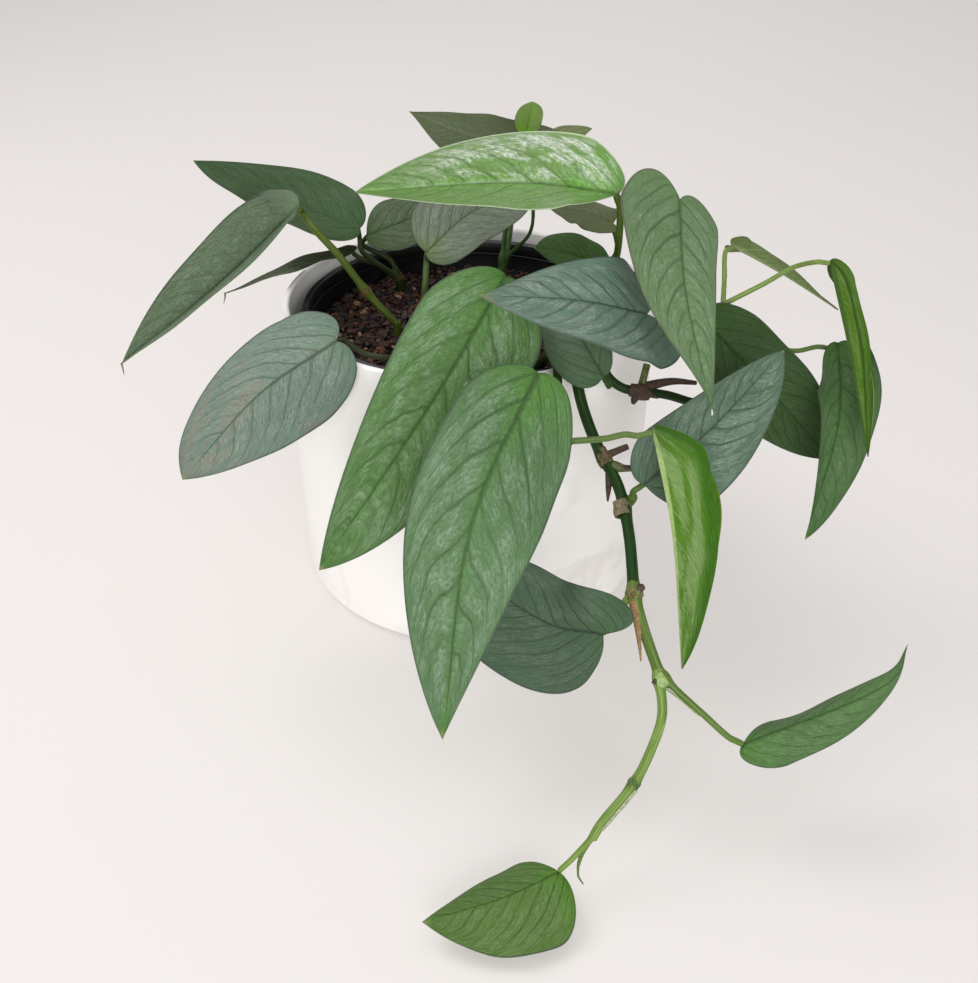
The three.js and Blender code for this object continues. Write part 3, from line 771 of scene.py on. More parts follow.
# %% Outline
LOBE_SHARE = 0.36
LOBE_RIB = 0.24
TIP_PULL = 0.84
LATERALS = 8.0
VEIN_SLANT = 1.15
VEIN_BEND = 0.3
VEIN_LOOP = 0.2
SIDE_SHIFT = 0.4


def bezier(p0, p1, p2, p3, t):
    return (1 - t) ** 3 * p0 + 3 * (1 - t) ** 2 * t * p1 + 3 * (1 - t) * t**2 * p2 + t**3 * p3


def outline_at(u, lobe, full, widest):
    """Rib lengths and half widths of the margin at u, from the notch (0) to the drip tip (1)."""
    in_lobe = u < LOBE_SHARE
    t = u / LOBE_SHARE
    s = (u - LOBE_SHARE) / (1 - LOBE_SHARE)
    lobe_x = bezier(0, -0.12 * lobe, 0.1 - 0.07 * lobe, widest, t)
    spear_x = bezier(widest, widest + 0.3, TIP_PULL, 1, s)
    w = np.where(in_lobe, bezier(0, 0.35, 1, 1, t), bezier(1, 1, full, 0, s))
    return np.where(in_lobe, lobe_x, spear_x), w


def rib_at(u):
    in_spear = LOBE_RIB + (1 - LOBE_RIB) * (u - LOBE_SHARE) / (1 - LOBE_SHARE)
    return np.where(u < LOBE_SHARE, LOBE_RIB * u / LOBE_SHARE, in_spear)


def vein_phase(x, across, margin):
    return LATERALS * (x - VEIN_SLANT * across + VEIN_BEND * across**2 - VEIN_LOOP * margin**3)


widest_x, widest_w = outline_at(np.array(LOBE_SHARE), 1, 0.55, 0.28)
print("widest point of a plain leaf:", round(float(widest_x), 2), round(float(widest_w), 2))

# %% [markdown]
# ### The leaves of this plant
# All leaves share the formula and differ in numbers, so a table is the shortest way to hold them. In the
# first line of each stand the rib from stalk to drip tip, the way the face looks and the two half widths,
# in the second the outline and how steeply the halves rise, and in the rest the colours. `tone` is the
# colour of the blade, matched leaf by leaf, so it also holds the painted light and shade of each leaf.
# `silver_and_highlight` is how strongly its two halves are flecked: silver on most leaves, and painted
# highlights on the glossy top leaf. `shaded_hem` and `crease` are for young, folded leaves, and paint shade
# along the margin and along a crease.

# %% Table of leaves
LEAVES = {
    "upper_left_leaf": dict(
        rib=[(-52, 28, 160), (-88, 40, 171), (-129, 41, 188)], face=(-0.2, -0.3, 0.95), half=(16.5, 21),
        lobes=(0.6, 0.3), full=(1, 0.3), widest=0.26, fold=11, rise=80,
        tone="315024", silver_and_highlight=(0.3, 0.3), glow=0.35, veins=0.45, keel="42553c"),
    "long_left_leaf": dict(
        rib=[(-76, 10, 177), (-103, -35, 161), (-137, -79, 144)], face=(0.05, -0.65, 0.75), half=(12, 20.5),
        lobes=(-0.9, 0.9), full=(1, 0.5), widest=0.36, fold=54, rise=60,
        tone="6b7f62", silver_and_highlight=(0.3, 0.3), glow=0.1, veins=0.35, keel="4a5a40"),
    "edge_on_left_leaf": dict(
        rib=[(-56.5, 35, 146), (-79, 18, 146), (-111.5, -3.5, 141)], face=(-0.25, 0.55, 0.8), half=(14.5, 9),
        lobes=(0.3, 0.6), full=(-0.1, 1), widest=0.26, fold=8, rise=50,
        tone="0b1804", silver_and_highlight=(0.1, 0.1), glow=0.8),
    "low_left_leaf": dict(
        rib=[(-52, -71, 150), (-80, -92, 138), (-107, -122, 117)], face=(-0.4, -0.9, 0.3), half=(24, 23.5),
        lobes=(0.8, 1.4), full=(0.55, 1), widest=0.28, fold=-17, rise=40,
        tone="708477", silver_and_highlight=(0.35, 0.3), glow=0.15, veins=0.85, bold=1.5, keel="3c4a3e", blush=0.5),
    "inner_left_leaf": dict(
        rib=[(-51, 45, 150), (-28, 59, 154), (-3, 74, 158)], face=(-0.2, -0.75, 0.65), half=(14, 14.5),
        lobes=(-0.4, 0.6), full=(0.6, 0.6), widest=0.32, fold=8, rise=60,
        tone="58694a", silver_and_highlight=(0.35, 0.35)),
    "inner_middle_leaf": dict(
        rib=[(-20, 13, 154), (1, 30, 167), (31, 45, 172)], face=(-0.05, -0.65, 0.75), half=(21, 17),
        lobes=(0.2, 0.8), full=(0.6, 0.95), widest=0.32, fold=9, rise=80,
        tone="747e6e", silver_and_highlight=(0.4, 0.4)),
    "back_leaf": dict(
        rib=[(41, 82, 182), (5, 92, 184), (-31, 92, 197)], face=(0.05, 0.95, 0.35), half=(14.5, 22),
        lobes=(2, 1.2), full=(0.25, 0.35), widest=0.36, fold=6, rise=60,
        tone="5e674e", silver_and_highlight=(0.2, 0.2)),
    "new_back_leaf": dict(
        rib=[(27, 60, 196), (29, 65, 203), (30, 71, 207)], face=(-0.05, -0.9, 0.4), half=(7, 6),
        lobes=(1.5, 1.2), full=(0.7, 1), widest=0.32, fold=8, wave=0.2, rise=50,
        tone="769546", silver_and_highlight=(0.0, 0.0), glow=1.0, young=True),
    "far_back_leaf": dict(
        rib=[(27, 99, 169), (45, 107, 177), (63, 112, 183)], face=(-0.3, -0.6, 0.75), half=(10, 10),
        lobes=(1.2, 1.2), full=(0.75, 0.3), widest=0.28, fold=8, rise=60,
        tone="768152", silver_and_highlight=(0.2, 0.2)),
    # On the glossy top leaf the flecks and their sheen colour are painted highlights.
    "glossy_top_leaf": dict(
        rib=[(61, -36, 198), (22, -25, 199), (-45, -37, 199)], face=(0.3, -0.5, 0.8), half=(22.5, 24),
        lobes=(-0.7, 0.5), full=(0.4, 0.45), widest=0.2, fold=25, rise=75,
        tone="719d4a", silver_and_highlight=(0.1, 0.9), glow=1.3, veins=0.9, sheen="f2f6f0", patch=0.8, fade=0.4,
        edge="d3dfc0", blister=2.6, coat=0.7, rough=0.3, pucker=0.5, young=True),
    "shaded_right_leaf": dict(
        rib=[(67, 24, 164), (55, 33, 166), (38, 39, 166)], face=(0.2, -0.25, 0.95), half=(14, 13),
        lobes=(2.6, -0.3), full=(0.55, 0.05), widest=0.26, fold=5, rise=60,
        tone="5b633e", silver_and_highlight=(0.15, 0.15)),
    "small_inner_leaf": dict(
        rib=[(62, 2, 152), (46, -2, 159), (29, -7, 164)], face=(0, -0.6, 0.8), half=(11, 11),
        lobes=(1.2, 1.2), full=(0.6, 0.85), widest=0.3, fold=8, rise=70,
        tone="3c6020", silver_and_highlight=(0.15, 0.15), glow=0.8),
    "upright_right_leaf": dict(
        rib=[(85, -42, 198), (83, -85, 177), (92, -113, 142)], face=(0.15, -0.9, 0.4), half=(15, 26),
        lobes=(0.8, 2.5), full=(0.35, 0), widest=0.16, fold=10, rise=90,
        tone="637f55", silver_and_highlight=(0.35, 0.35), veins=1.1, bold=1.7, edge="5a4a48", glow=0.15),
    "across_leaf": dict(
        rib=[(72, -67, 160), (42, -83, 173), (6, -95, 180)], face=(-0.05, -0.6, 0.8), half=(26, 22),
        lobes=(3.2, 1.2), full=(0.5, 0.25), widest=0.1, fold=14, rise=70,
        tone="688372", silver_and_highlight=(0.7, 0.6), glow=0.15, veins=1.0, bold=2.4, patch=0.8, blister=1.4,
        keel="33423d", tip=0.92, blush=0.15),
    "round_shaded_leaf": dict(
        rib=[(53, -93, 146), (44, -74, 155), (27, -44, 163)], face=(-0.1, -0.85, 0.5), half=(15.5, 9),
        lobes=(0.9, 0.3), full=(0.15, 0.6), widest=0.28, fold=8, rise=60,
        tone="536d4f", silver_and_highlight=(0.15, 0.15), glow=0.2, blush=0.08),
    "long_front_leaf": dict(
        rib=[(16, -65, 175), (-11, -104, 143), (-55, -143, 90)], face=(-0.05, -0.85, 0.5), half=(26.5, 24.5),
        lobes=(0.2, 0.3), full=(0.85, 0.45), widest=0.2, fold=7, rise=90,
        tone="537a3f", silver_and_highlight=(0.85, 0.75), glow=0.4, bold=1.3, shade=0.22),
    "big_front_leaf": dict(
        rib=[(27, -110, 156), (3, -152, 118), (-8, -186, 45)], face=(-0.1, -0.95, -0.25), half=(29, 25.5),
        lobes=(0.5, 0.2), full=(0.2, 0.6), widest=0.2, fold=6, rise=90,
        tone="587a51", silver_and_highlight=(0.6, 0.65), glow=0.8, bold=1.3, tip=0.96),
    "low_shaded_leaf": dict(
        rib=[(51, -162, 75), (32, -148, 68), (0, -125, 76)], face=(0.1, -0.75, 0.65), half=(26.5, 18),
        lobes=(0.7, 3.2), full=(1, 1), widest=0.4, fold=10, comes=(-0.6, -0.55, -0.55),
        tone="49624b", silver_and_highlight=(0.2, 0.2), glow=0.3, veins=0.8, bold=1.5, keel="2c3a30", blush=0.1),
    "new_folded_leaf": dict(
        rib=[(70, -119, 137), (76, -146, 110), (80, -171, 66)], face=(0.85, -0.5, -0.2), half=(19.5, 20),
        lobes=(0.5, 0.4), full=(0.35, 0.6), widest=0.24, fold=64, bend=0, rise=90,
        tone="49720e", silver_and_highlight=(0.0, 0.25), glow=0.9, veins=0.6, sheen="c8dba0", keel="a8bd7e",
        edge="5d7a1c", shaded_hem=0.95, coat=0.1, rough=0.46, young=True),
    "blue_right_leaf": dict(
        rib=[(68, -122, 115), (94, -103, 127), (126, -77, 149)], face=(0.1, -0.8, 0.6), half=(16, 22),
        lobes=(0.6, 0.1), full=(0.5, 0.65), widest=0.16, fold=8, rise=40,
        tone="5c7660", silver_and_highlight=(0.6, 0.7), glow=0.1, veins=0.9, bold=1.8, blister=1.3, keel="3a4a42"),
    "dark_right_leaf": dict(
        rib=[(102, -50, 146), (127, -60, 123), (154, -76, 97)], face=(0.2, -0.75, 0.65), half=(19.5, 21.5),
        lobes=(1.6, 1.2), full=(0.95, 0.7), widest=0.32, fold=8, rise=60,
        tone="2d4c17", silver_and_highlight=(0.15, 0.1), glow=0.5),
    "edge_on_right_leaf": dict(
        rib=[(115, -12, 167), (139, -16, 155), (163, -24, 142)], face=(0.35, 0.9, 0.15), half=(8, 8),
        lobes=(0.9, 0.8), full=(0.95, -0.1), widest=0.24, fold=72, rise=60,
        tone="4b5a16", silver_and_highlight=(0.1, 0.1), glow=0.7),
    "new_hanging_leaf": dict(
        rib=[(150, -40, 171), (154, -74, 145), (158, -104, 116)], face=(0.45, -0.65, -0.65), half=(13, 9),
        lobes=(0.3, 0.3), full=(0.45, 0.3), widest=0.2, fold=69, bend=0, rise=90,
        tone="43640f", silver_and_highlight=(0.0, 0.0), glow=0.9, veins=0.15, edge="a9c06a", keel="2f4a18",
        shaded_hem=0.3, crease=0.85, rough=0.46, young=True),
    "far_right_leaf": dict(
        rib=[(157, -48, 138), (151, -84, 121), (135, -117, 85)], face=(-0.2, -0.95, -0.3), half=(16, 9.5),
        lobes=(0.3, 0.3), full=(0.75, -0.1), widest=0.2, fold=4, rise=80,
        tone="446634", silver_and_highlight=(0.3, 0.3), glow=0.6),
    "low_right_leaf": dict(
        rib=[(101, -190, 47), (154, -179, 68), (165, -162, 70)], face=(0.8, 0.1, 0.55), half=(8.5, 12.5),
        lobes=(-0.4, 0.8), full=(0.15, -0.1), widest=0.16, fold=-22, comes=(0.8, 0, -0.5),
        tone="547744", silver_and_highlight=(0.15, 0.15), glow=0.4, veins=0.8),
    "last_leaf": dict(
        rib=[(34, -219, 13), (14, -229, 12), (-14, -238, 11)], face=(0, -0.05, 1), half=(22.5, 12.5),
        lobes=(0.6, -0.3), full=(0.5, 0.35), widest=0.24, fold=-16, bend=0, comes=(-0.7, -0.3, -0.64),
        tone="577834", silver_and_highlight=(0.3, 0.2), glow=0.9, bold=1.6, tip=0.93),
}
LEAF_DEFAULTS = dict(
    wave=0.8, bend=0.1, rise=60, comes=None, pucker=0.25, young=False, coat=0.0, rough=0.44, glow=0.5,
    veins=1.0, keel=None, edge="3f4540", sheen=None, blister=1.0, bold=1.0, patch=1.0, fade=0.85, shaded_hem=0.0,
    crease=0.0, shade=0.0, tip=0.975, blush=0.0)
BEAT = 1.7
RIB_SAMPLES = 240
for index, leaf in enumerate(LEAVES.values()):
    for key, value in LEAF_DEFAULTS.items():
        leaf.setdefault(key, value)
    leaf["beat"] = BEAT * index
    leaf["line"], leaf["length"] = smooth_route(leaf["rib"], RIB_SAMPLES)
    leaf["heading"] = unit(np.gradient(leaf["line"], axis=0))
print("leaves:", len(LEAVES), "longest rib:", round(max(leaf["length"] for leaf in LEAVES.values())), "mm")

# %% [markdown]
# ### A point of the blade
# A flat leaf looks like paper. A real one has a channel along its rib, skin that swells between the veins,
# a slow ripple along the margin and a droop. All four are added to the bare valley, each as one short term.

# %% A point of the blade
RIPPLES = 13
CHANNEL_DEPTH = 0.35
CHANNEL_WIDTH = 0.9
OPEN_BY = 0.2
SWELL_FROM_RIB = 4


def frame_along(leaf, t):
    """The directions along the rib, off the face and to the side, at shares t of the rib."""
    along = unit(sample(leaf["heading"], t))
    face = unit(leaf["face"])
    up = unit(face - along * (along @ face)[:, None])
    return along, up, np.cross(along, up)


def blade_place(leaf, x, w, margin):
    """Points of the blade in millimetres, with the rib's channel and the swelling between veins."""
    t = np.clip(x, 0, 1)
    along, up, side = frame_along(leaf, t)
    point = sample(leaf["line"], t) + along * ((x - t) * leaf["length"])[:, None]
    half = np.where(w > 0, leaf["half"][1], leaf["half"][0])
    reach = np.abs(w) * half
    opening = math.radians(leaf["fold"]) * np.minimum(1, 0.3 + np.maximum(x, 0) / OPEN_BY)
    ripple = leaf["wave"] * w**2 * np.sin(leaf["beat"] + RIPPLES * x + 2.2 * w)
    droop = leaf["bend"] * half * w**2
    phase = vein_phase(x, reach / leaf["length"], margin) + SIDE_SHIFT * (w > 0)
    swell = leaf["pucker"] * (np.abs(np.sin(math.pi * phase)) ** 0.7 - 0.6)
    swell = swell * np.minimum(1, reach / SWELL_FROM_RIB) * (1 - margin**3)
    channel = -CHANNEL_DEPTH * np.exp(-((reach / CHANNEL_WIDTH) ** 2)) * np.clip(1.2 - x, 0, 1)
    point = point + side * (np.sign(w) * reach * np.cos(opening))[:, None]
    return point + up * (reach * np.sin(opening) - droop + ripple + swell + channel)[:, None]


middle = blade_place(LEAVES["big_front_leaf"], np.array([0.0, 0.5, 1.0]), np.zeros(3), np.zeros(3))
print("rib of the big front leaf:", middle.round(1).tolist())

# %% [markdown]
# ### Making one blade
# A grid primitive already has the rows that a blade needs. Its vertices are moved by the formula, with more
# rows near the rib, the pinched rows at both ends are merged, and a Solidify modifier gives the blade its
# thickness, thinner towards the margin. Flat leaf coordinates stay on the mesh as an attribute for the
# shader, because a pattern of veins has to follow the leaf and not the room.

# %% Blade from a grid
BLADE_STATIONS = 84
BLADE_ROWS = 40
ROW_CROWDING = 1.25
BLADE_THICKNESS = 0.55
RIM_THICKNESS = 0.4
RIM_FROM = 0.8
PINCH_REACH = 1e-7


def thicken_blade(piece, margin):
    """Gives the sheet its thickness, and marks the new side as the underside."""
    body = piece.vertex_groups.new(name="body")
    for index, weight in enumerate(1 - np.clip((margin - RIM_FROM) / (1 - RIM_FROM), 0, 1)):
        body.add([index], float(weight), "REPLACE")
    bpy.ops.object.mode_set(mode="EDIT")
    bpy.ops.mesh.select_all(action="SELECT")
    bpy.ops.mesh.remove_doubles(threshold=PINCH_REACH)
    bpy.ops.object.mode_set(mode="OBJECT")
    upper = len(piece.data.vertices)
    shell = piece.modifiers.new("thickness", "SOLIDIFY")
    shell.thickness = BLADE_THICKNESS * MM
    shell.offset = 0
    shell.vertex_group = "body"
    shell.thickness_vertex_group = RIM_THICKNESS
    apply_modifiers(piece)
    piece.vertex_groups.clear()
    write_attribute(piece.data, "under", np.arange(len(piece.data.vertices)) >= upper)


def make_blade(name, leaf):
    clear_selection()
    bpy.ops.mesh.primitive_grid_add(x_subdivisions=BLADE_STATIONS, y_subdivisions=BLADE_ROWS, size=2)
    piece = new_piece(name)
    corners = corners_of(piece)
    u = (corners[:, 0] + 1) / 2
    sign = -np.sign(corners[:, 1])
    margin = np.abs(corners[:, 1]) ** ROW_CROWDING
    which = (sign > 0).astype(int)
    lobe, full, half = (np.array(leaf[key])[which] for key in ("lobes", "full", "half"))
    edge_x, edge_w = outline_at(u, lobe, full, leaf["widest"])
    x = rib_at(u) + (edge_x - rib_at(u)) * margin
    w = sign * edge_w * margin
    move_corners(piece, blade_place(leaf, x, w, margin))
    write_attribute(piece.data, "flat", np.column_stack([x, w * half / leaf["length"], margin]))
    thicken_blade(piece, margin)
    shade(piece, 70)
    return piece


print("blade:", BLADE_STATIONS, "by", BLADE_ROWS, "faces on each side")

# %% [markdown]
# ## The marks on a leaf
# The finish of a leaf is a drawing on the flat leaf coordinates: x along the rib, y across it and margin
# from the rib (0) to the edge (1). Painting each leaf would take a picture for each. Instead the vein
# number is worked out again in the shader, and everything that follows the veins is built on it: `nearest`
# is the distance to a side vein, `cross` runs across the veins and `along` runs with them.


# %% Marks: veins and texture
def leaf_marks(leafy, leaf):
    """The wires that the skin is painted with. Most of them are masks from 0 to 1."""
    m = SimpleNamespace()
    flat = leafy.attribute("flat", "Vector")
    m.x, y, m.margin = leafy.separate(flat)
    m.spot = leafy.vectors("ADD", flat, (leaf["beat"], 0.0, leaf["beat"]))
    across = abs(y)
    m.left = y > 0
    wander = (leafy.noise(m.spot, 3.0, 1.0) - 0.5) * 0.07
    bowed = m.x - across * VEIN_SLANT + across * across * VEIN_BEND - m.margin**3 * VEIN_LOOP
    m.phase = (bowed + wander) * LATERALS + m.left * SIDE_SHIFT
    m.nearest = 0.5 - abs(m.phase.fraction() - 0.5)
    m.cross = m.phase * 12.0
    m.along = (m.x * 0.75 + across * 0.65) * leaf["length"]
    m.depth = m.left * 9.0 + leaf["beat"]
    m.grain = leafy.noise(leafy.combine(m.cross * 0.8, m.along * 0.6, m.depth), 1.0, 5.0, 0.72)
    m.lines = leafy.noise(leafy.combine(m.cross * 2.2, m.along * 0.12, m.depth), 1.0, 2.0, 0.5)
    m.cloud = leafy.noise(m.spot, 4.5, 2.0)
    m.grit = leafy.noise(m.spot, 1.6 * leaf["length"], 3.0, 0.65)
    m.spread = across / (1.12 - m.x)
    m.rib = m.spread.smooth(0.014, 0.002) * m.x.smooth(1.0, 0.8)
    m.beside_rib = m.spread.smooth(0.07, 0.012)
    return m


print("marks start from", LATERALS, "side veins")

# %% [markdown]
# ### Side veins, cells, silver and painted highlights
# A side vein is thick at the rib and fades out before the margin, and no two are equally strong. The silver
# is air under the skin. It lies in patches that are drawn out along the veins, keeps clear of the rib and
# the margin, and breaks into small cells. So it is a noise, cut off, and multiplied by each of these in
# turn. On the glossy top leaf the same flecks, in its near-white sheen colour, are painted highlights.


# %% Marks: side veins and silver
def add_side_veins(leafy, leaf, m):
    vein_width = (0.045 + (1 - m.x) * 0.04) * leaf["bold"]
    rank = m.phase + 0.5 - (m.phase + 0.5).fraction()
    strength = leafy.noise(leafy.combine(rank * 7.3, m.left * 3.1, leaf["beat"]), 1.0, 0.0)
    m.side_vein = (m.nearest / vein_width).smooth(1.0, 0.1) * m.margin.smooth(1.0, 0.5)
    m.side_vein = m.side_vein * m.x.smooth(0.95, 0.75) * (0.5 + m.grain.smooth(0.35, 0.6) * 0.5)
    m.side_vein = m.side_vein * (0.4 + strength.smooth(0.38, 0.55) * 0.75)


def add_silver_and_highlight(leafy, leaf, m):
    patches = leafy.combine(m.cross * 0.16, m.along * 0.1, m.depth)
    patches = leafy.noise(patches, leaf["patch"], 4.0, 0.62)
    cell = {"Vector": leafy.combine(m.cross * 0.36 + m.grain, m.along * 0.2 + m.grain, m.depth), "Scale": 1.0}
    m.cell_edge = leafy.node("ShaderNodeTexVoronoi", {"feature": "DISTANCE_TO_EDGE"}, cell)
    cell_tint = leafy.separate(leafy.node("ShaderNodeTexVoronoi", {}, cell, "Color"))[0]
    silver_and_highlight = patches * 0.65 + m.grain * 0.2 + cell_tint * 0.08 + (m.cloud - 0.5) * 0.5 + 0.035
    silver_and_highlight = silver_and_highlight.smooth(0.43, 0.6) * (0.5 + m.grain.smooth(0.36, 0.6) * 0.5)
    silver_and_highlight = silver_and_highlight * (0.75 + m.cell_edge.smooth(0.0, 0.2) * 0.25)
    silver_and_highlight = silver_and_highlight * m.margin.smooth(1.0, 0.85) * m.x.smooth(-0.02, 0.1) * m.x.smooth(1.0, leaf["fade"])
    m.silver_and_highlight = silver_and_highlight * (1 - m.beside_rib * 0.7) * (1 - m.side_vein)


print("vein and silver marks ready")

# %% [markdown]
# ## The skin of a leaf
# Mature leaves are blue-green with a silvery bloom, and young ones are lime green, shinier and almost
# without veins. The upper skin is painted in layers, each mixed over the last: warm patches, silver flecks
# that are painted highlights on the glossy top leaf, dark grain, fine lines, painted shade in the hollow
# beside each vein, painted shade towards the tip and blush, the veins, the rib, a thin margin and the pale
# drip tip.

# %% Upper skin
BLUSH = "7d7568"
DRIP_TIP = "8f9468"


def leaf_colors(leaf):
    """The few colours of a leaf, most of them made from its tone."""
    # The tone holds this leaf's painted light and shade as well as its own colour.
    tone = paint(leaf["tone"])
    grey = sum(tone[:3]) / 3
    silver_and_highlight_tint = tuple(0.5 * c + 0.5 * grey for c in tone[:3])
    deep = scaled(tone, (0.38, 0.46, 0.42 - 0.16 * min(1, leaf["glow"] * 2)))
    return SimpleNamespace(
        tone=tone, deep=deep, lively=scaled(tone, (0.85, 1.15, 0.4)), edge=paint(leaf["edge"]),
        silver_and_highlight_tint=paint(leaf["sheen"]) if leaf["sheen"] else scaled(silver_and_highlight_tint, (1.75, 1.85, 1.85), 0.05),
        # shaded_hem is the colour of the painted shade along a young leaf's margin
        keel=paint(leaf["keel"]) if leaf["keel"] else deep, shaded_hem=scaled(tone, (0.48, 0.72, 0.06)))


def upper_skin(leafy, leaf, m, colors):
    amount = leaf["silver_and_highlight"][0] * (1 - m.left) + m.left * leaf["silver_and_highlight"][1]
    warmth = m.x.smooth(0.25, 0.0) + m.x.smooth(0.85, 1.0) * 0.6 + m.beside_rib * 0.5
    warmth = (warmth + (m.cloud - 0.5) * 0.8) * leaf["glow"]
    # Painted shade in the hollow beside each side vein.
    painted_hollow_shade = m.nearest.smooth(0.2, 0.02) * m.margin.smooth(1.0, 0.6) * m.x.smooth(0.98, 0.8)
    return leafy.layer(colors.tone, [
        (warmth.smooth(0.0, 1.0), colors.lively),
        # silver flecks; on the glossy top leaf they are painted highlights
        (m.silver_and_highlight * amount, colors.silver_and_highlight_tint),
        ((m.grain * 0.45 + m.grit * 0.55).smooth(0.57, 0.38) * 0.55, colors.deep),
        (m.lines.smooth(0.52, 0.7) * 0.2 * leaf["veins"], colors.deep),
        (m.cell_edge.smooth(0.12, 0.0) * 0.22 * leaf["veins"], colors.deep),
        (painted_hollow_shade * 0.22 * leaf["veins"], colors.deep),
        # painted shade, darker towards the tip
        (m.x.smooth(0.35, 0.9) * leaf["shade"], colors.deep),
        ((m.cloud + m.x * 0.25).smooth(0.6, 0.8) * leaf["blush"], paint(BLUSH)),
        (m.side_vein * 0.75 * leaf["veins"], colors.deep),
        (m.rib * (0.5 if leaf["veins"] < 0.5 else 0.85), colors.keel),
        (m.margin.smooth(0.96, 0.985) * 0.7, colors.edge),
        (m.x.smooth(leaf["tip"], 1.0) * 0.7, paint(DRIP_TIP)),
    ])


print("upper skin ready")

# %% [markdown]
# ### The underside
# The underside is paler and matt, and its veins are lighter than the skin, not darker. A folded young leaf
# shows little else, so its rib is drawn here too, with painted shade along its margin and along a crease.

# %% Underside and finish of a leaf
PALE_UNDERSIDE = "a5b98a"
SHEEN_YOUNG, SHEEN_GLOSSY, SHEEN_MATURE = 0.2, 0.5, 0.35


def under_skin(leafy, leaf, m, colors):
    pale = paint(PALE_UNDERSIDE)
    ridge = 0.75 if leaf["keel"] else 0.15
    return leafy.layer(colors.tone, [
        (0.0 if leaf["young"] else 0.2, pale),
        (m.grain.smooth(0.62, 0.35) * 0.4, colors.lively),
        ((m.cloud + m.grain * 0.4).smooth(0.62, 0.8) * 0.3 * leaf["shaded_hem"], pale),
        ((m.side_vein * 0.35 + m.lines.smooth(0.5, 0.7) * 0.18) * leaf["veins"], pale),
        # painted shade along a crease of the folded leaf
        (abs(m.margin - 0.6).smooth(0.12, 0.03) * leaf["crease"], colors.deep),
        # painted shade: a dark, saturated band along the margin of a folded young leaf
        (m.margin.smooth(0.6, 0.9) * leaf["shaded_hem"], colors.shaded_hem),
        (m.spread.smooth(0.024, 0.012) * ridge, colors.keel if leaf["keel"] else pale),
    ])


def leaf_finish(name, leaf):
    sheen = SHEEN_GLOSSY if leaf["coat"] > 0.5 else SHEEN_YOUNG if leaf["young"] else SHEEN_MATURE
    leafy = Finish(name, Coat_Weight=leaf["coat"], Coat_Roughness=0.22, Specular_IOR_Level=sheen)
    m = leaf_marks(leafy, leaf)
    add_side_veins(leafy, leaf, m)
    add_silver_and_highlight(leafy, leaf, m)
    colors = leaf_colors(leaf)
    under = leafy.attribute("under")
    leafy.color(leafy.mix(under, upper_skin(leafy, leaf, m, colors), under_skin(leafy, leaf, m, colors)))
    leafy.roughness(leaf["rough"] + m.grit * 0.14 + under * 0.12 - m.silver_and_highlight * 0.05)
    relief = m.nearest.smooth(0.0, 0.16) * 0.5 + m.grain * 0.7 + m.grit * 0.3
    relief = relief + m.cell_edge.smooth(0.0, 0.3) * 0.5 - m.rib * 0.4
    leafy.bump(relief, 0.0005 * leaf["blister"], 0.75)
    return leafy.material


print("leaf finish ready")

# %% [markdown]
# ## All the leaves
# Each blade is a piece of its own, as each leaf is on the plant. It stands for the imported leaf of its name,
# and has a finish of its own, because the leaves differ in age and in how much silver they have.

# %% Make all leaves
for name, leaf in LEAVES.items():
    blade = make_blade(f"{name}_blade", leaf)
    finish_piece(blade, leaf_finish(f"{name} skin", leaf), name)

# %% [markdown]
# ## Stems and stalks
# A stem is a round tube that follows a curve, a little thicker at each node, and each leaf hangs on a stalk
# that grows out of a node. Tubes could be extruded ring by ring, but a curve object does this well: a bevel
# makes the tube, and each point has its own radius. First come the small parts of a route: where a stalk
# meets its blade, how a stem enters the mix, and the closed rod itself.

# %% Stalk ends and tubes
STALK_RADIUS = 1.35
STALK_SINK = 0.2
STALK_TAPER = 0.92
STALK_LAST = (6, 3, 0)


def seat_under(name, radius):
    """The last points of a stalk, which comes up to its blade from below and grows into the rib."""
    leaf = LEAVES[name]
    along = leaf["heading"][0]
    face = unit(leaf["face"])
    up = unit(face - along * (along @ face))
    rise = math.radians(leaf["rise"])
    heading = along * math.cos(rise) + up * math.sin(rise)
    if leaf["comes"]:
        heading = unit(leaf["comes"])
    end = np.array(leaf["rib"][0], float)
    if heading @ up > 0:
        drop = STALK_SINK + radius * 0.8 * math.sqrt(max(0, 1 - (heading @ up) ** 2))
        end = end - up * drop + along * 0.8
    return [tuple(end - heading * back) for back in STALK_LAST]


def rod(points, radius, end_radius=None, kind=0.0):
    """A part of a vine: kind is 0 where it has the tone of the stem and 1 where it has that of a stalk."""
    return dict(points=points, radii=(radius, end_radius or radius), kind=kind)


def stalk(name, points, radius=STALK_RADIUS, kind=1.0):
    return rod([*points, *seat_under(name, radius)], radius, radius * STALK_TAPER, kind=kind)


def rooted(name, points):
    return [(*HOLES[name][0], MIX_TOP + 5), *points]


def plug(name):
    at, radius = HOLES[name]
    return rod([(*at, MIX_TOP - STEM_DEPTH), (*at, MIX_TOP - 8), (*at, MIX_TOP + 6.5)], radius)


def curve_to_mesh(name, line, radii, rounds):
    """A closed rod along a line in millimetres, made as a curve object and turned into a mesh."""
    data = bpy.data.curves.new(name, "CURVE")
    data.dimensions = "3D"
    data.bevel_depth = MM
    data.bevel_resolution = rounds
    data.use_fill_caps = True
    spline = data.splines.new("POLY")
    spline.points.add(len(line) - 1)
    for point, place, radius in zip(spline.points, line * MM, radii):
        point.co = (*place, 1)
        point.radius = radius
    item = bpy.data.objects.new(name, data)
    bpy.context.scene.collection.objects.link(item)
    select_only(item)
    bpy.ops.object.convert(target="MESH")
    return bpy.context.object


print("a stalk ends at", [tuple(round(float(c), 1) for c in p) for p in seat_under("last_leaf", 1.2)])

# %% [markdown]
# ### The vines
# Each row is one vine with the stalks that grow from it. `tone` and `stalks` are its two colours, and
# `nodes` lists the centre of each node and the radius that it swells to. The parts run through the corners
# given, in millimetres.

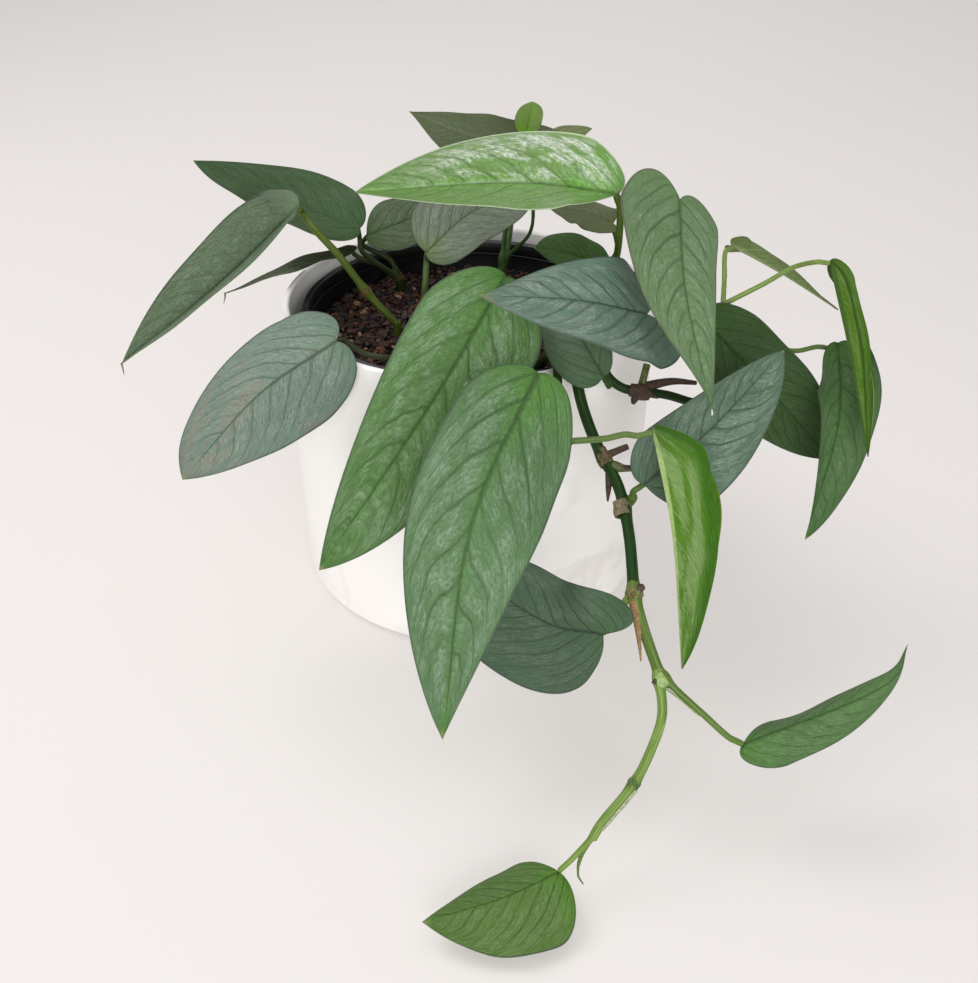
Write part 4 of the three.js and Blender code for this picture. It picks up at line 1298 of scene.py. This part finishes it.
# %% Table of vines
VINES = {
    "left_vine": dict(tone="485818", stalks="485818", nodes=[(-47, -4, 142, 2.6)], parts=lambda: [
        rod([*rooted("left_vine", [(-38, -8, 133), (-47, -4, 142), (-59, 0, 158), (-68, 4, 167)]),
             *seat_under("long_left_leaf", 1.8)], 1.8, 1.7),
    ]),
    "back_left_vine": dict(tone="222e12", stalks="2c3818", nodes=[(-36, 42, 130, 2.4)], parts=lambda: [
        rod(rooted("back_left_vine", [(-38, 41, 134)]), 2),
        stalk("inner_left_leaf", [(-36, 42, 130), (-40, 46, 137)]),
        stalk("upper_left_leaf", [(-37, 41, 131), (-46, 33, 141), (-52, 29, 149)]),
        stalk("edge_on_left_leaf", [(-37, 42, 129), (-46, 40, 137)]),
    ]),
    "inner_vine": dict(tone="56703f", stalks="56703f", nodes=[], parts=lambda: [
        stalk("inner_middle_leaf", rooted("inner_vine", [(-21, 13, 138)]), 1.6),
    ]),
    "back_vine": dict(tone="26401a", stalks="2f4c1a", nodes=[(16, 44, 138, 2.5)], parts=lambda: [
        rod(rooted("back_vine", [(16, 44, 138)]), 2),
        stalk("back_leaf", [(15, 38, 129), (16, 45, 141), (18, 55, 152), (26, 66, 164), (40, 72, 170)]),
        stalk("far_back_leaf", [(15, 38, 130), (19, 58, 142), (22, 86, 151)]),
        stalk("new_back_leaf", [(16, 44, 138), (29, 44, 152), (30, 52, 166), (26, 58, 180)], 1),
    ]),
    "top_vine": dict(tone="45621a", stalks="557022", nodes=[(56, -1, 131, 2.5)], parts=lambda: [
        rod(rooted("top_vine", [(57, -3, 136)]), 2),
        stalk("glossy_top_leaf", [(56, -1, 130), (59, -14, 146), (63, -26, 166), (63, -33, 180)], 1.7),
        stalk("shaded_right_leaf", [(57, 0, 131), (62, 12, 144), (69, 20, 152)]),
        stalk("small_inner_leaf", [(57, -1, 132), (60, 0, 140)]),
    ]),
    "right_upright_vine": dict(tone="243a18", stalks="33491f", nodes=[(60, -22, 132, 2.5)], parts=lambda: [
        rod(rooted("right_upright_vine", [(61, -23, 136)]), 2),
        stalk("upright_right_leaf", [(59, -22, 130), (68, -26, 150), (79, -32, 178)], 1.6),
        stalk("across_leaf", [(60, -23, 132), (70, -36, 146), (75, -54, 150)], 1.6),
    ]),
    "over_front_vine": dict(tone="1e3a0e", stalks="5a703c", nodes=[(35, -93, 133, 2.4)], parts=lambda: [
        rod([*rooted("over_front_vine", [(33, -66, 140), (36, -77, 145), (36, -86, 139), (35, -94, 132)]),
             (34, -104, 127), (40, -111, 126)], 2),
        stalk("big_front_leaf", [(35, -92, 134), (31, -99, 145)], 1.6),
        stalk("new_folded_leaf", [(38, -109, 126), (53, -115, 131), (60, -117, 134)]),
    ]),
    "trailing_vine": dict(tone="17340a", stalks="6b8440", nodes=[
        (54, -106, 117, 3.0), (60, -124, 105, 3.0), (63, -151, 86, 3.1), (72, -174, 64, 2.8),
        (61, -200, 37, 2.3),
    ], parts=lambda: [
        rod([*rooted("trailing_vine", [(41, -50, 138), (42, -64, 146), (43, -75, 146.5), (44, -84, 138)]),
             (47, -91, 128), (52, -103, 119), (59, -116, 110), (62, -132, 100), (63, -151, 86)], 2.4, 2.25),
        rod([(62.8, -148.6, 87.9), (63, -151, 86), (66, -160, 77), (71.5, -173, 65)], 2.2, 2.1, kind=0.6),
        rod([(71, -172, 66), (72, -183, 55), (68, -191, 46), (61, -200, 37), (49, -209, 26), (46, -212, 22)],
            1.9, 1.8, kind=1.0),
        stalk("round_shaded_leaf", [(44, -68, 147), (51, -78, 149)], kind=0.1),
        stalk("blue_right_leaf", [(60, -124, 105), (65, -120, 107)], kind=0.4),
        stalk("low_shaded_leaf", [(63, -151, 85), (59, -153, 82)]),
        stalk("low_right_leaf", [(72, -173, 65), (79, -179, 61), (86, -185, 57.5)], kind=0.65),
        stalk("last_leaf", [(47, -211, 23), (43, -214, 20.5)], 1.2),
        rod([(46, -211, 22), (42, -215, 16), (41, -219, 11), (43, -221, 8)], 1.3, 0.4, kind=0.6),
    ]),
    "right_vine": dict(tone="17300b", stalks="6f8444", nodes=[
        (71, -78, 131, 3.0), (109, -44, 138, 2.4),
    ], parts=lambda: [
        rod([*rooted("right_vine", [(51, -50, 141), (52, -61, 147), (54, -69, 144), (57, -74, 136)]),
             (63, -77, 132), (70, -78, 131), (82, -76, 128), (94, -74, 123.5), (103, -63, 121),
             (109, -46, 134), (110, -36, 149)], 2.1, 1.7),
        stalk("dark_right_leaf", [(109, -47, 134), (106, -42, 141)]),
        stalk("edge_on_right_leaf", [(109, -36, 150), (111, -24, 156)], 1.2),
        stalk("new_hanging_leaf", [(109, -36, 150), (126, -36, 160), (137, -34, 166)], 1.2),
        stalk("far_right_leaf", [(108, -43, 140), (122, -40, 135), (141, -42, 131), (151, -44, 134)],
              1.2, kind=0.55),
    ]),
    "front_vine": dict(tone="2a2e16", stalks="2a2e16", nodes=[(-13, -43, 136, 2.5)], parts=lambda: [
        rod(rooted("front_vine", [(-13, -43, 136)]), 2),
        stalk("long_front_leaf", [(-14, -42, 131), (-4, -46, 148), (10, -52, 166)], 1.6),
        stalk("low_left_leaf", [(-14, -41, 129), (-22, -58, 138), (-32, -72, 143), (-42, -68, 143)]),
    ]),
}
print("vines:", len(VINES))

# %% [markdown]
# ### From tubes to one skin
# On the plant a stalk grows out of its stem with no crease. Tubes that only cross would show one. So the
# tubes of a vine are joined and remeshed into one skin. After that the mesh knows nothing of its tubes, and
# each vertex looks up the nearest point of the centre lines. It keeps three facts for the shader: its place
# in the grain, which kind of part it belongs to, and how close it is to a node.

# %% Grow a vine
SKIN_VOXEL = 0.55
NODE_REACH = 3.2
RING_REACH = 4.0
GRAIN_LENGTH = 14
TUBE_STEP = 0.8
TUBE_FEWEST = 12


def tube(part, nodes):
    """One tube as a mesh, with the samples of its centre line, their headings, lengths and kinds."""
    steps = np.linalg.norm(np.diff(np.array(part["points"]), axis=0), axis=1)
    line, length = smooth_route(part["points"], max(TUBE_FEWEST, int(sum(steps) / TUBE_STEP)))
    share = np.linspace(0, 1, len(line))
    radii = part["radii"][0] + (part["radii"][1] - part["radii"][0]) * share
    for *spot, fat in nodes:
        nearness = np.exp(-((np.linalg.norm(line - np.array(spot), axis=1) / NODE_REACH) ** 2))
        radii = np.maximum(radii, radii + (fat - radii) * nearness * (fat > radii))
    item = curve_to_mesh("tube", line, radii, 5)
    heading = unit(np.gradient(line, axis=0))
    return item, line, heading, share * length, np.full(len(line), part["kind"])


def weld(name, items):
    """Joins the tubes and remeshes them into one skin."""
    select_only(*items)
    bpy.ops.object.join()
    piece = new_piece(name)
    remesh = piece.modifiers.new("one skin", "REMESH")
    remesh.mode = "VOXEL"
    remesh.voxel_size = SKIN_VOXEL * MM
    relax = piece.modifiers.new("soft joins", "SMOOTH")
    relax.factor = 0.5
    relax.iterations = 3
    apply_modifiers(piece)
    return piece


def nearest_rows(line, corners):
    tree = kdtree.KDTree(len(line))
    for index, place in enumerate(line):
        tree.insert(place, index)
    tree.balance()
    return np.array([tree.find(corner)[1] for corner in corners])


def make_vine(name, vine):
    tubes = [tube(part, vine["nodes"]) for part in [plug(name), *vine["parts"]()]]
    piece = weld(f"{name}_skin", [made[0] for made in tubes])
    line, heading = (np.vstack([made[k] for made in tubes]) for k in (1, 2))
    along, kind = (np.concatenate([made[k] for made in tubes]) for k in (3, 4))
    corners = corners_of(piece) / MM
    nearest = nearest_rows(line, corners)
    off = corners - line[nearest]
    off = off - heading[nearest] * np.sum(off * heading[nearest], axis=1)[:, None]
    grain = np.column_stack([unit(off)[:, :2] + unit(off)[:, 2:], along[nearest] / GRAIN_LENGTH])
    ring = np.zeros(len(corners))
    for *spot, _ in vine["nodes"]:
        away = np.linalg.norm(corners - np.array(spot), axis=1)
        ring = np.maximum(ring, np.exp(-((away / RING_REACH) ** 2)))
    write_attribute(piece.data, "grain", grain)
    write_attribute(piece.data, "ring", ring)
    write_attribute(piece.data, "kind", kind[nearest])
    shade(piece, 80)
    return piece


print("vine tools ready")

# %% [markdown]
# ### The finish of a stem
# The main stem is dark, smooth green with paler lines along it, and stalks are lighter. At the nodes, where
# old sheaths have dried, the skin is tan to brown. A separate material for each would show a hard border,
# so one finish reads the kind and the nearness to a node from the mesh, and mixes.

# %% Stem finish
NODE_TAN = "6e5c36"
NODE_BROWN = "3c2a18"


def stem_finish(name, vine):
    stem = Finish(name, roughness=0.36, Specular_IOR_Level=0.15)
    tone, stalks = paint(vine["tone"]), paint(vine["stalks"])
    grain = stem.attribute("grain", "Vector")
    streaks = stem.noise(stem.vectors("MULTIPLY", grain, (2.2, 2.2, 0.25)), 2.4, 3.0, 0.6)
    ring = stem.attribute("ring")
    kind = stem.attribute("kind")
    deep = stem.mix(kind, scaled(tone, (0.7, 0.75, 0.6)), scaled(stalks, (0.7, 0.75, 0.6)))
    light = scaled(stalks, (1.3, 1.25, 1.3), 0.015)
    light = stem.mix(kind, scaled(tone, (1.35, 1.3, 1.3), 0.008), light)
    skin = stem.mix(streaks.smooth(0.4, 0.65), deep, light)
    dried = stem.noise(stem.place(), 700.0, 3.0, 0.6)
    brown = stem.mix(dried.smooth(0.35, 0.65), paint(NODE_TAN), paint(NODE_BROWN))
    worn = (ring + (dried - 0.5) * 0.5).smooth(0.45, 0.8)
    stem.color(stem.mix(worn * (1 - kind * 0.6), skin, brown))
    stem.roughness(0.4 + worn * 0.35 + streaks * 0.08)
    stem.bump(streaks * 0.5 + dried * worn, 0.00025, 0.5)
    return stem.material


for name, vine in VINES.items():
    finish_piece(make_vine(name, vine), stem_finish(f"{name} bark", vine), name)

# %% [markdown]
# ## Dried sheaths, buds and stubs
# Each new leaf was wrapped in a sheath, which dries to brown paper and stays at its node. Beside it sit
# buds, cut stubs and a withered strand, all one to four millimetres thick. A sheath could be cloth, but it
# is stiff and small, so it is a strip of a grid primitive, wrapped part of the way round a curve. Buds and
# stubs are short tapered rods.

# %% Husks and tapered rods
HUSK_GRID = (24, 14)
HUSK_SAMPLES = 60
HUSK_THICKNESS = 0.22
HORN_SAMPLES = 24


def make_husk(name, route, radii, wrap, facing):
    """A strip wrapped part of the way round a curve, open on the side that faces away."""
    clear_selection()
    bpy.ops.mesh.primitive_grid_add(x_subdivisions=HUSK_GRID[0], y_subdivisions=HUSK_GRID[1], size=2)
    piece = new_piece(name)
    corners = corners_of(piece)
    share = (corners[:, 0] + 1) / 2
    turn = corners[:, 1] * math.radians(wrap) / 2
    line = smooth_route(route, HUSK_SAMPLES)[0]
    along = sample(unit(np.gradient(line, axis=0)), share)
    facing = np.array(facing, float)
    front = unit(facing - along * (along @ facing)[:, None])
    side = np.cross(along, front)
    radius = np.interp(share, np.linspace(0, 1, len(radii)), radii)
    crease = 1 + 0.08 * np.sin(corners[:, 1] * 9 + share * 5)
    spread = (front * np.cos(turn)[:, None] + side * np.sin(turn)[:, None]) * (radius * crease)[:, None]
    move_corners(piece, sample(line, share) + spread)
    shell = piece.modifiers.new("thickness", "SOLIDIFY")
    shell.thickness = HUSK_THICKNESS * MM
    shell.offset = 0
    apply_modifiers(piece)
    shade(piece, 60)
    return piece


def make_horn(name, route, radii, rounds=3):
    """A short rod whose radius changes along a curve, with closed ends."""
    line = smooth_route(route, HORN_SAMPLES)[0]
    curve_to_mesh(name, line, spread_over(radii, HORN_SAMPLES), rounds)
    piece = new_piece(name)
    shade(piece, 60)
    return piece


print("husk tools ready")

# %% [markdown]
# ### Dry skin
# Dried skin is fibrous, blotched and dull. The fibres are a noise that is stretched along the height, and a
# coarser noise darkens patches of it.


# %% Husk finish
def husk_finish(name, pale_code, dark_code, glossy=0.0):
    husk = Finish(name, Coat_Weight=glossy, Coat_Roughness=0.3)
    place = husk.place()
    fibres = husk.noise(husk.vectors("MULTIPLY", place, (1.0, 1.0, 0.3)), 1500.0, 3.0, 0.6)
    blotch = husk.noise(place, 420.0, 3.0, 0.6)
    color = husk.mix(fibres.smooth(0.35, 0.65), paint(pale_code), paint(dark_code))
    darkest = scaled(paint(dark_code), (0.5, 0.5, 0.5))
    husk.color(husk.mix(blotch.smooth(0.5, 0.7) * 0.5, color, darkest))
    husk.roughness(0.5 + fibres * 0.3)
    husk.bump(fibres + blotch, 0.0003, 0.7)
    return husk.material


papery = husk_finish("papery sheath", "7d7454", "504632")
brown_dry = husk_finish("brown dried skin", "4c3220", "261810")
olive_bud = husk_finish("olive bud skin", "59662e", "37391c", 0.2)
dark_bud = husk_finish("dark bud skin", "2a2a16", "18120a", 0.2)
pale_skin = husk_finish("pale green sheath", "93ac6c", "76944e", 0.1)
tan_knuckle = husk_finish("tan knuckle skin", "77783c", "4a3c20")
green_ring = husk_finish("dark green ring", "4a6a2a", "2f4a16")
grey_sheath = husk_finish("pale grey sheath", "a5ae8c", "83906a")
tan_sheath = husk_finish("tan sheath", "9a7c50", "6a5232")
tan_node = husk_finish("tan node skin", "665c34", "362a16")
print("dry skins ready")

# %% [markdown]
# ### The small parts of this plant
# Each husk has the route it is wrapped round, its radii, how many degrees it wraps and the way it faces.
# Each horn has a route and radii. The last two entries are its skin and the vine that it belongs to.

# %% Table of small parts
HUSKS = {
    "fork_collar": dict(
        route=[(71.2, -172.8, 65.8), (72, -174.6, 64), (73.6, -176.6, 62.6)],
        radii=(2.1, 2.85, 2.2), wrap=190, facing=(-0.3, -0.8, -0.2), skin=pale_skin, vine="trailing_vine"),
    "knuckle_collar": dict(
        route=[(62.9, -149.2, 87.5), (63, -151, 86), (63.5, -152.8, 84.3)],
        radii=(2.6, 3.25, 2.8), wrap=250, facing=(-0.5, -0.8, 0.2), skin=tan_knuckle, vine="trailing_vine"),
    "stalk_wing": dict(
        route=[(72.6, -174.5, 64), (78, -178.3, 61.4), (86, -185, 57.5)],
        radii=(2.1, 1.65, 1.5), wrap=80, facing=(-0.7, -0.4, -0.6), skin=pale_skin, vine="trailing_vine"),
    "low_collar": dict(
        route=[(61.9, -199, 38.1), (61.2, -199.8, 37.2), (60.2, -200.7, 36.2)],
        radii=(2.0, 2.35, 2.1), wrap=300, facing=(-0.2, -0.9, 0.3), skin=green_ring, vine="trailing_vine"),
    "low_sheath": dict(
        route=[(60.4, -200.6, 36.4), (54.5, -205.2, 31), (48.4, -209.6, 25.6)],
        radii=(2.35, 2.2, 1.95), wrap=130, facing=(0.6, -0.5, -0.6), skin=grey_sheath, vine="trailing_vine"),
    "long_sheath": dict(
        route=[(62.6, -152, 85), (64, -158, 79.5), (64.6, -164, 73.5), (65, -169, 68)],
        radii=(2.1, 1.7, 0.95, 0.25), wrap=160, facing=(-0.7, -0.7, 0.1), skin=tan_sheath,
        vine="trailing_vine"),
    "papery_collar": dict(
        route=[(59.2, -121.5, 106.9), (60, -124, 105), (60.5, -126.4, 103.4)],
        radii=(2.8, 3.4, 3.2), wrap=280, facing=(-0.4, -0.8, 0.2), skin=papery, vine="trailing_vine"),
    "node_sheath": dict(
        route=[(52.8, -103.2, 118.8), (54, -106, 117), (55.4, -108.8, 115.2)],
        radii=(2.5, 3.1, 2.9), wrap=200, facing=(-0.6, -0.7, 0.1), skin=tan_node, vine="trailing_vine"),
    "cluster_sheath": dict(
        route=[(66, -77.5, 131.6), (70, -78.3, 131), (74, -78, 130)],
        radii=(2.6, 3.4, 2.7), wrap=240, facing=(0.2, -0.9, -0.3), skin=brown_dry, vine="right_vine"),
}
HORNS = {
    "dry_stub": dict(
        route=[(54.5, -105.5, 117.3), (59, -106, 120), (63, -106, 122)],
        radii=(1.7, 1.4, 1.2), skin=brown_dry, vine="trailing_vine"),
    "side_bud": dict(
        route=[(55.5, -108, 114.6), (59, -110, 115), (62, -111.5, 115.2), (64.4, -112.4, 115)],
        radii=(2.2, 2.3, 1.5, 0.5), skin=olive_bud, vine="trailing_vine"),
    "bud_tip": dict(
        route=[(61, -111.2, 115.6), (63, -112, 116.2), (65.4, -112.6, 117.4)],
        radii=(1.2, 0.9, 0.3), skin=brown_dry, vine="trailing_vine"),
    "hanging_scale": dict(
        route=[(55.8, -111, 112.6), (55.4, -115, 109.4), (54.8, -120, 105.8)],
        radii=(1.6, 1.2, 0.4), skin=brown_dry, vine="trailing_vine"),
    "knuckle_knob": dict(
        route=[(63.5, -151, 86.6), (65.2, -151, 88), (66.4, -151.2, 88.8)],
        radii=(2.6, 1.9, 1.1), skin=brown_dry, vine="trailing_vine"),
    "node_dot": dict(
        route=[(70.6, -175.4, 64.6), (69.2, -176.2, 64.6), (68.4, -176.6, 64.4)],
        radii=(1.2, 1.0, 0.5), skin=brown_dry, vine="trailing_vine"),
    "olive_stub": dict(
        route=[(70.6, -77.4, 131.6), (71.6, -75, 135.6), (73, -72, 140)],
        radii=(1.9, 1.5, 1.5), skin=olive_bud, vine="right_vine"),
    "round_bud": dict(
        route=[(68.6, -79.4, 130), (67.8, -80, 128), (67.4, -80.2, 126.4)],
        radii=(1.5, 1.6, 0.8), skin=dark_bud, vine="right_vine"),
    "dry_strand": dict(
        route=[(72, -77, 132), (76, -75.5, 132.6), (84, -73, 132.8), (94, -71, 131)],
        radii=(2.3, 1.8, 1.3, 0.9), skin=brown_dry, vine="right_vine"),
    "node_scale": dict(
        route=[(73, -78.4, 130.4), (75.6, -78.6, 129.2), (77.4, -78.4, 128)],
        radii=(1.6, 1.2, 0.4), skin=brown_dry, vine="right_vine"),
}
for name, part in HUSKS.items():
    husk = make_husk(name, part["route"], part["radii"], part["wrap"], part["facing"])
    finish_piece(husk, part["skin"], None)
for name, part in HORNS.items():
    finish_piece(make_horn(name, part["route"], part["radii"]), part["skin"], None)

# %% [markdown]
# ### Drip tips
# The long tip of a leaf lets water run off. On some leaves it ends in a dry thread, and on others a drop of
# sap has dried to a pale bead. Both are too thin for the blade's own grid, so they are tiny rods set on the
# tip.

# %% Threads and beads
THREADS = {"long_left_leaf": (0.3, -0.6), "edge_on_left_leaf": (-1.2, -0.4)}
THREAD_DROP = 4.8
BEADS = {"upright_right_leaf": 1.8, "big_front_leaf": 1.6}
thread_dry = husk_finish("dry thread", "8c8078", "5f544c")
bead_pale = husk_finish("dried sap", "dfe3d2", "b9c2a6", 0.4)


def tip_of(name):
    return np.array(LEAVES[name]["rib"][2], float)


for name, (aside, back) in THREADS.items():
    tip = tip_of(name)
    route = [tip + (0, 0, 0.2), tip + (aside * 0.3, back * 0.3, -2.2), tip + (aside, back, -THREAD_DROP)]
    finish_piece(make_horn(f"{name}_thread", route, (0.45, 0.3, 0.15), 2), thread_dry, None)
for name, drop in BEADS.items():
    tip = tip_of(name)
    route = [tip + (0, -0.2, 0.4), tip + (0.1, -0.3, -drop * 0.5), tip + (0.2, -0.3, -drop)]
    finish_piece(make_horn(f"{name}_bead", route, (0.3, 0.5, 0.35)), bead_pale, None)

# %% [markdown]
# ## Count the pieces
# The dressed plant should fill the same box as the solids, to about a millimetre. The last line prints how
# many pieces and triangles were made.

print("pieces:", len(pieces_made), "triangles:", sum(count_triangles(piece) for piece in pieces_made))
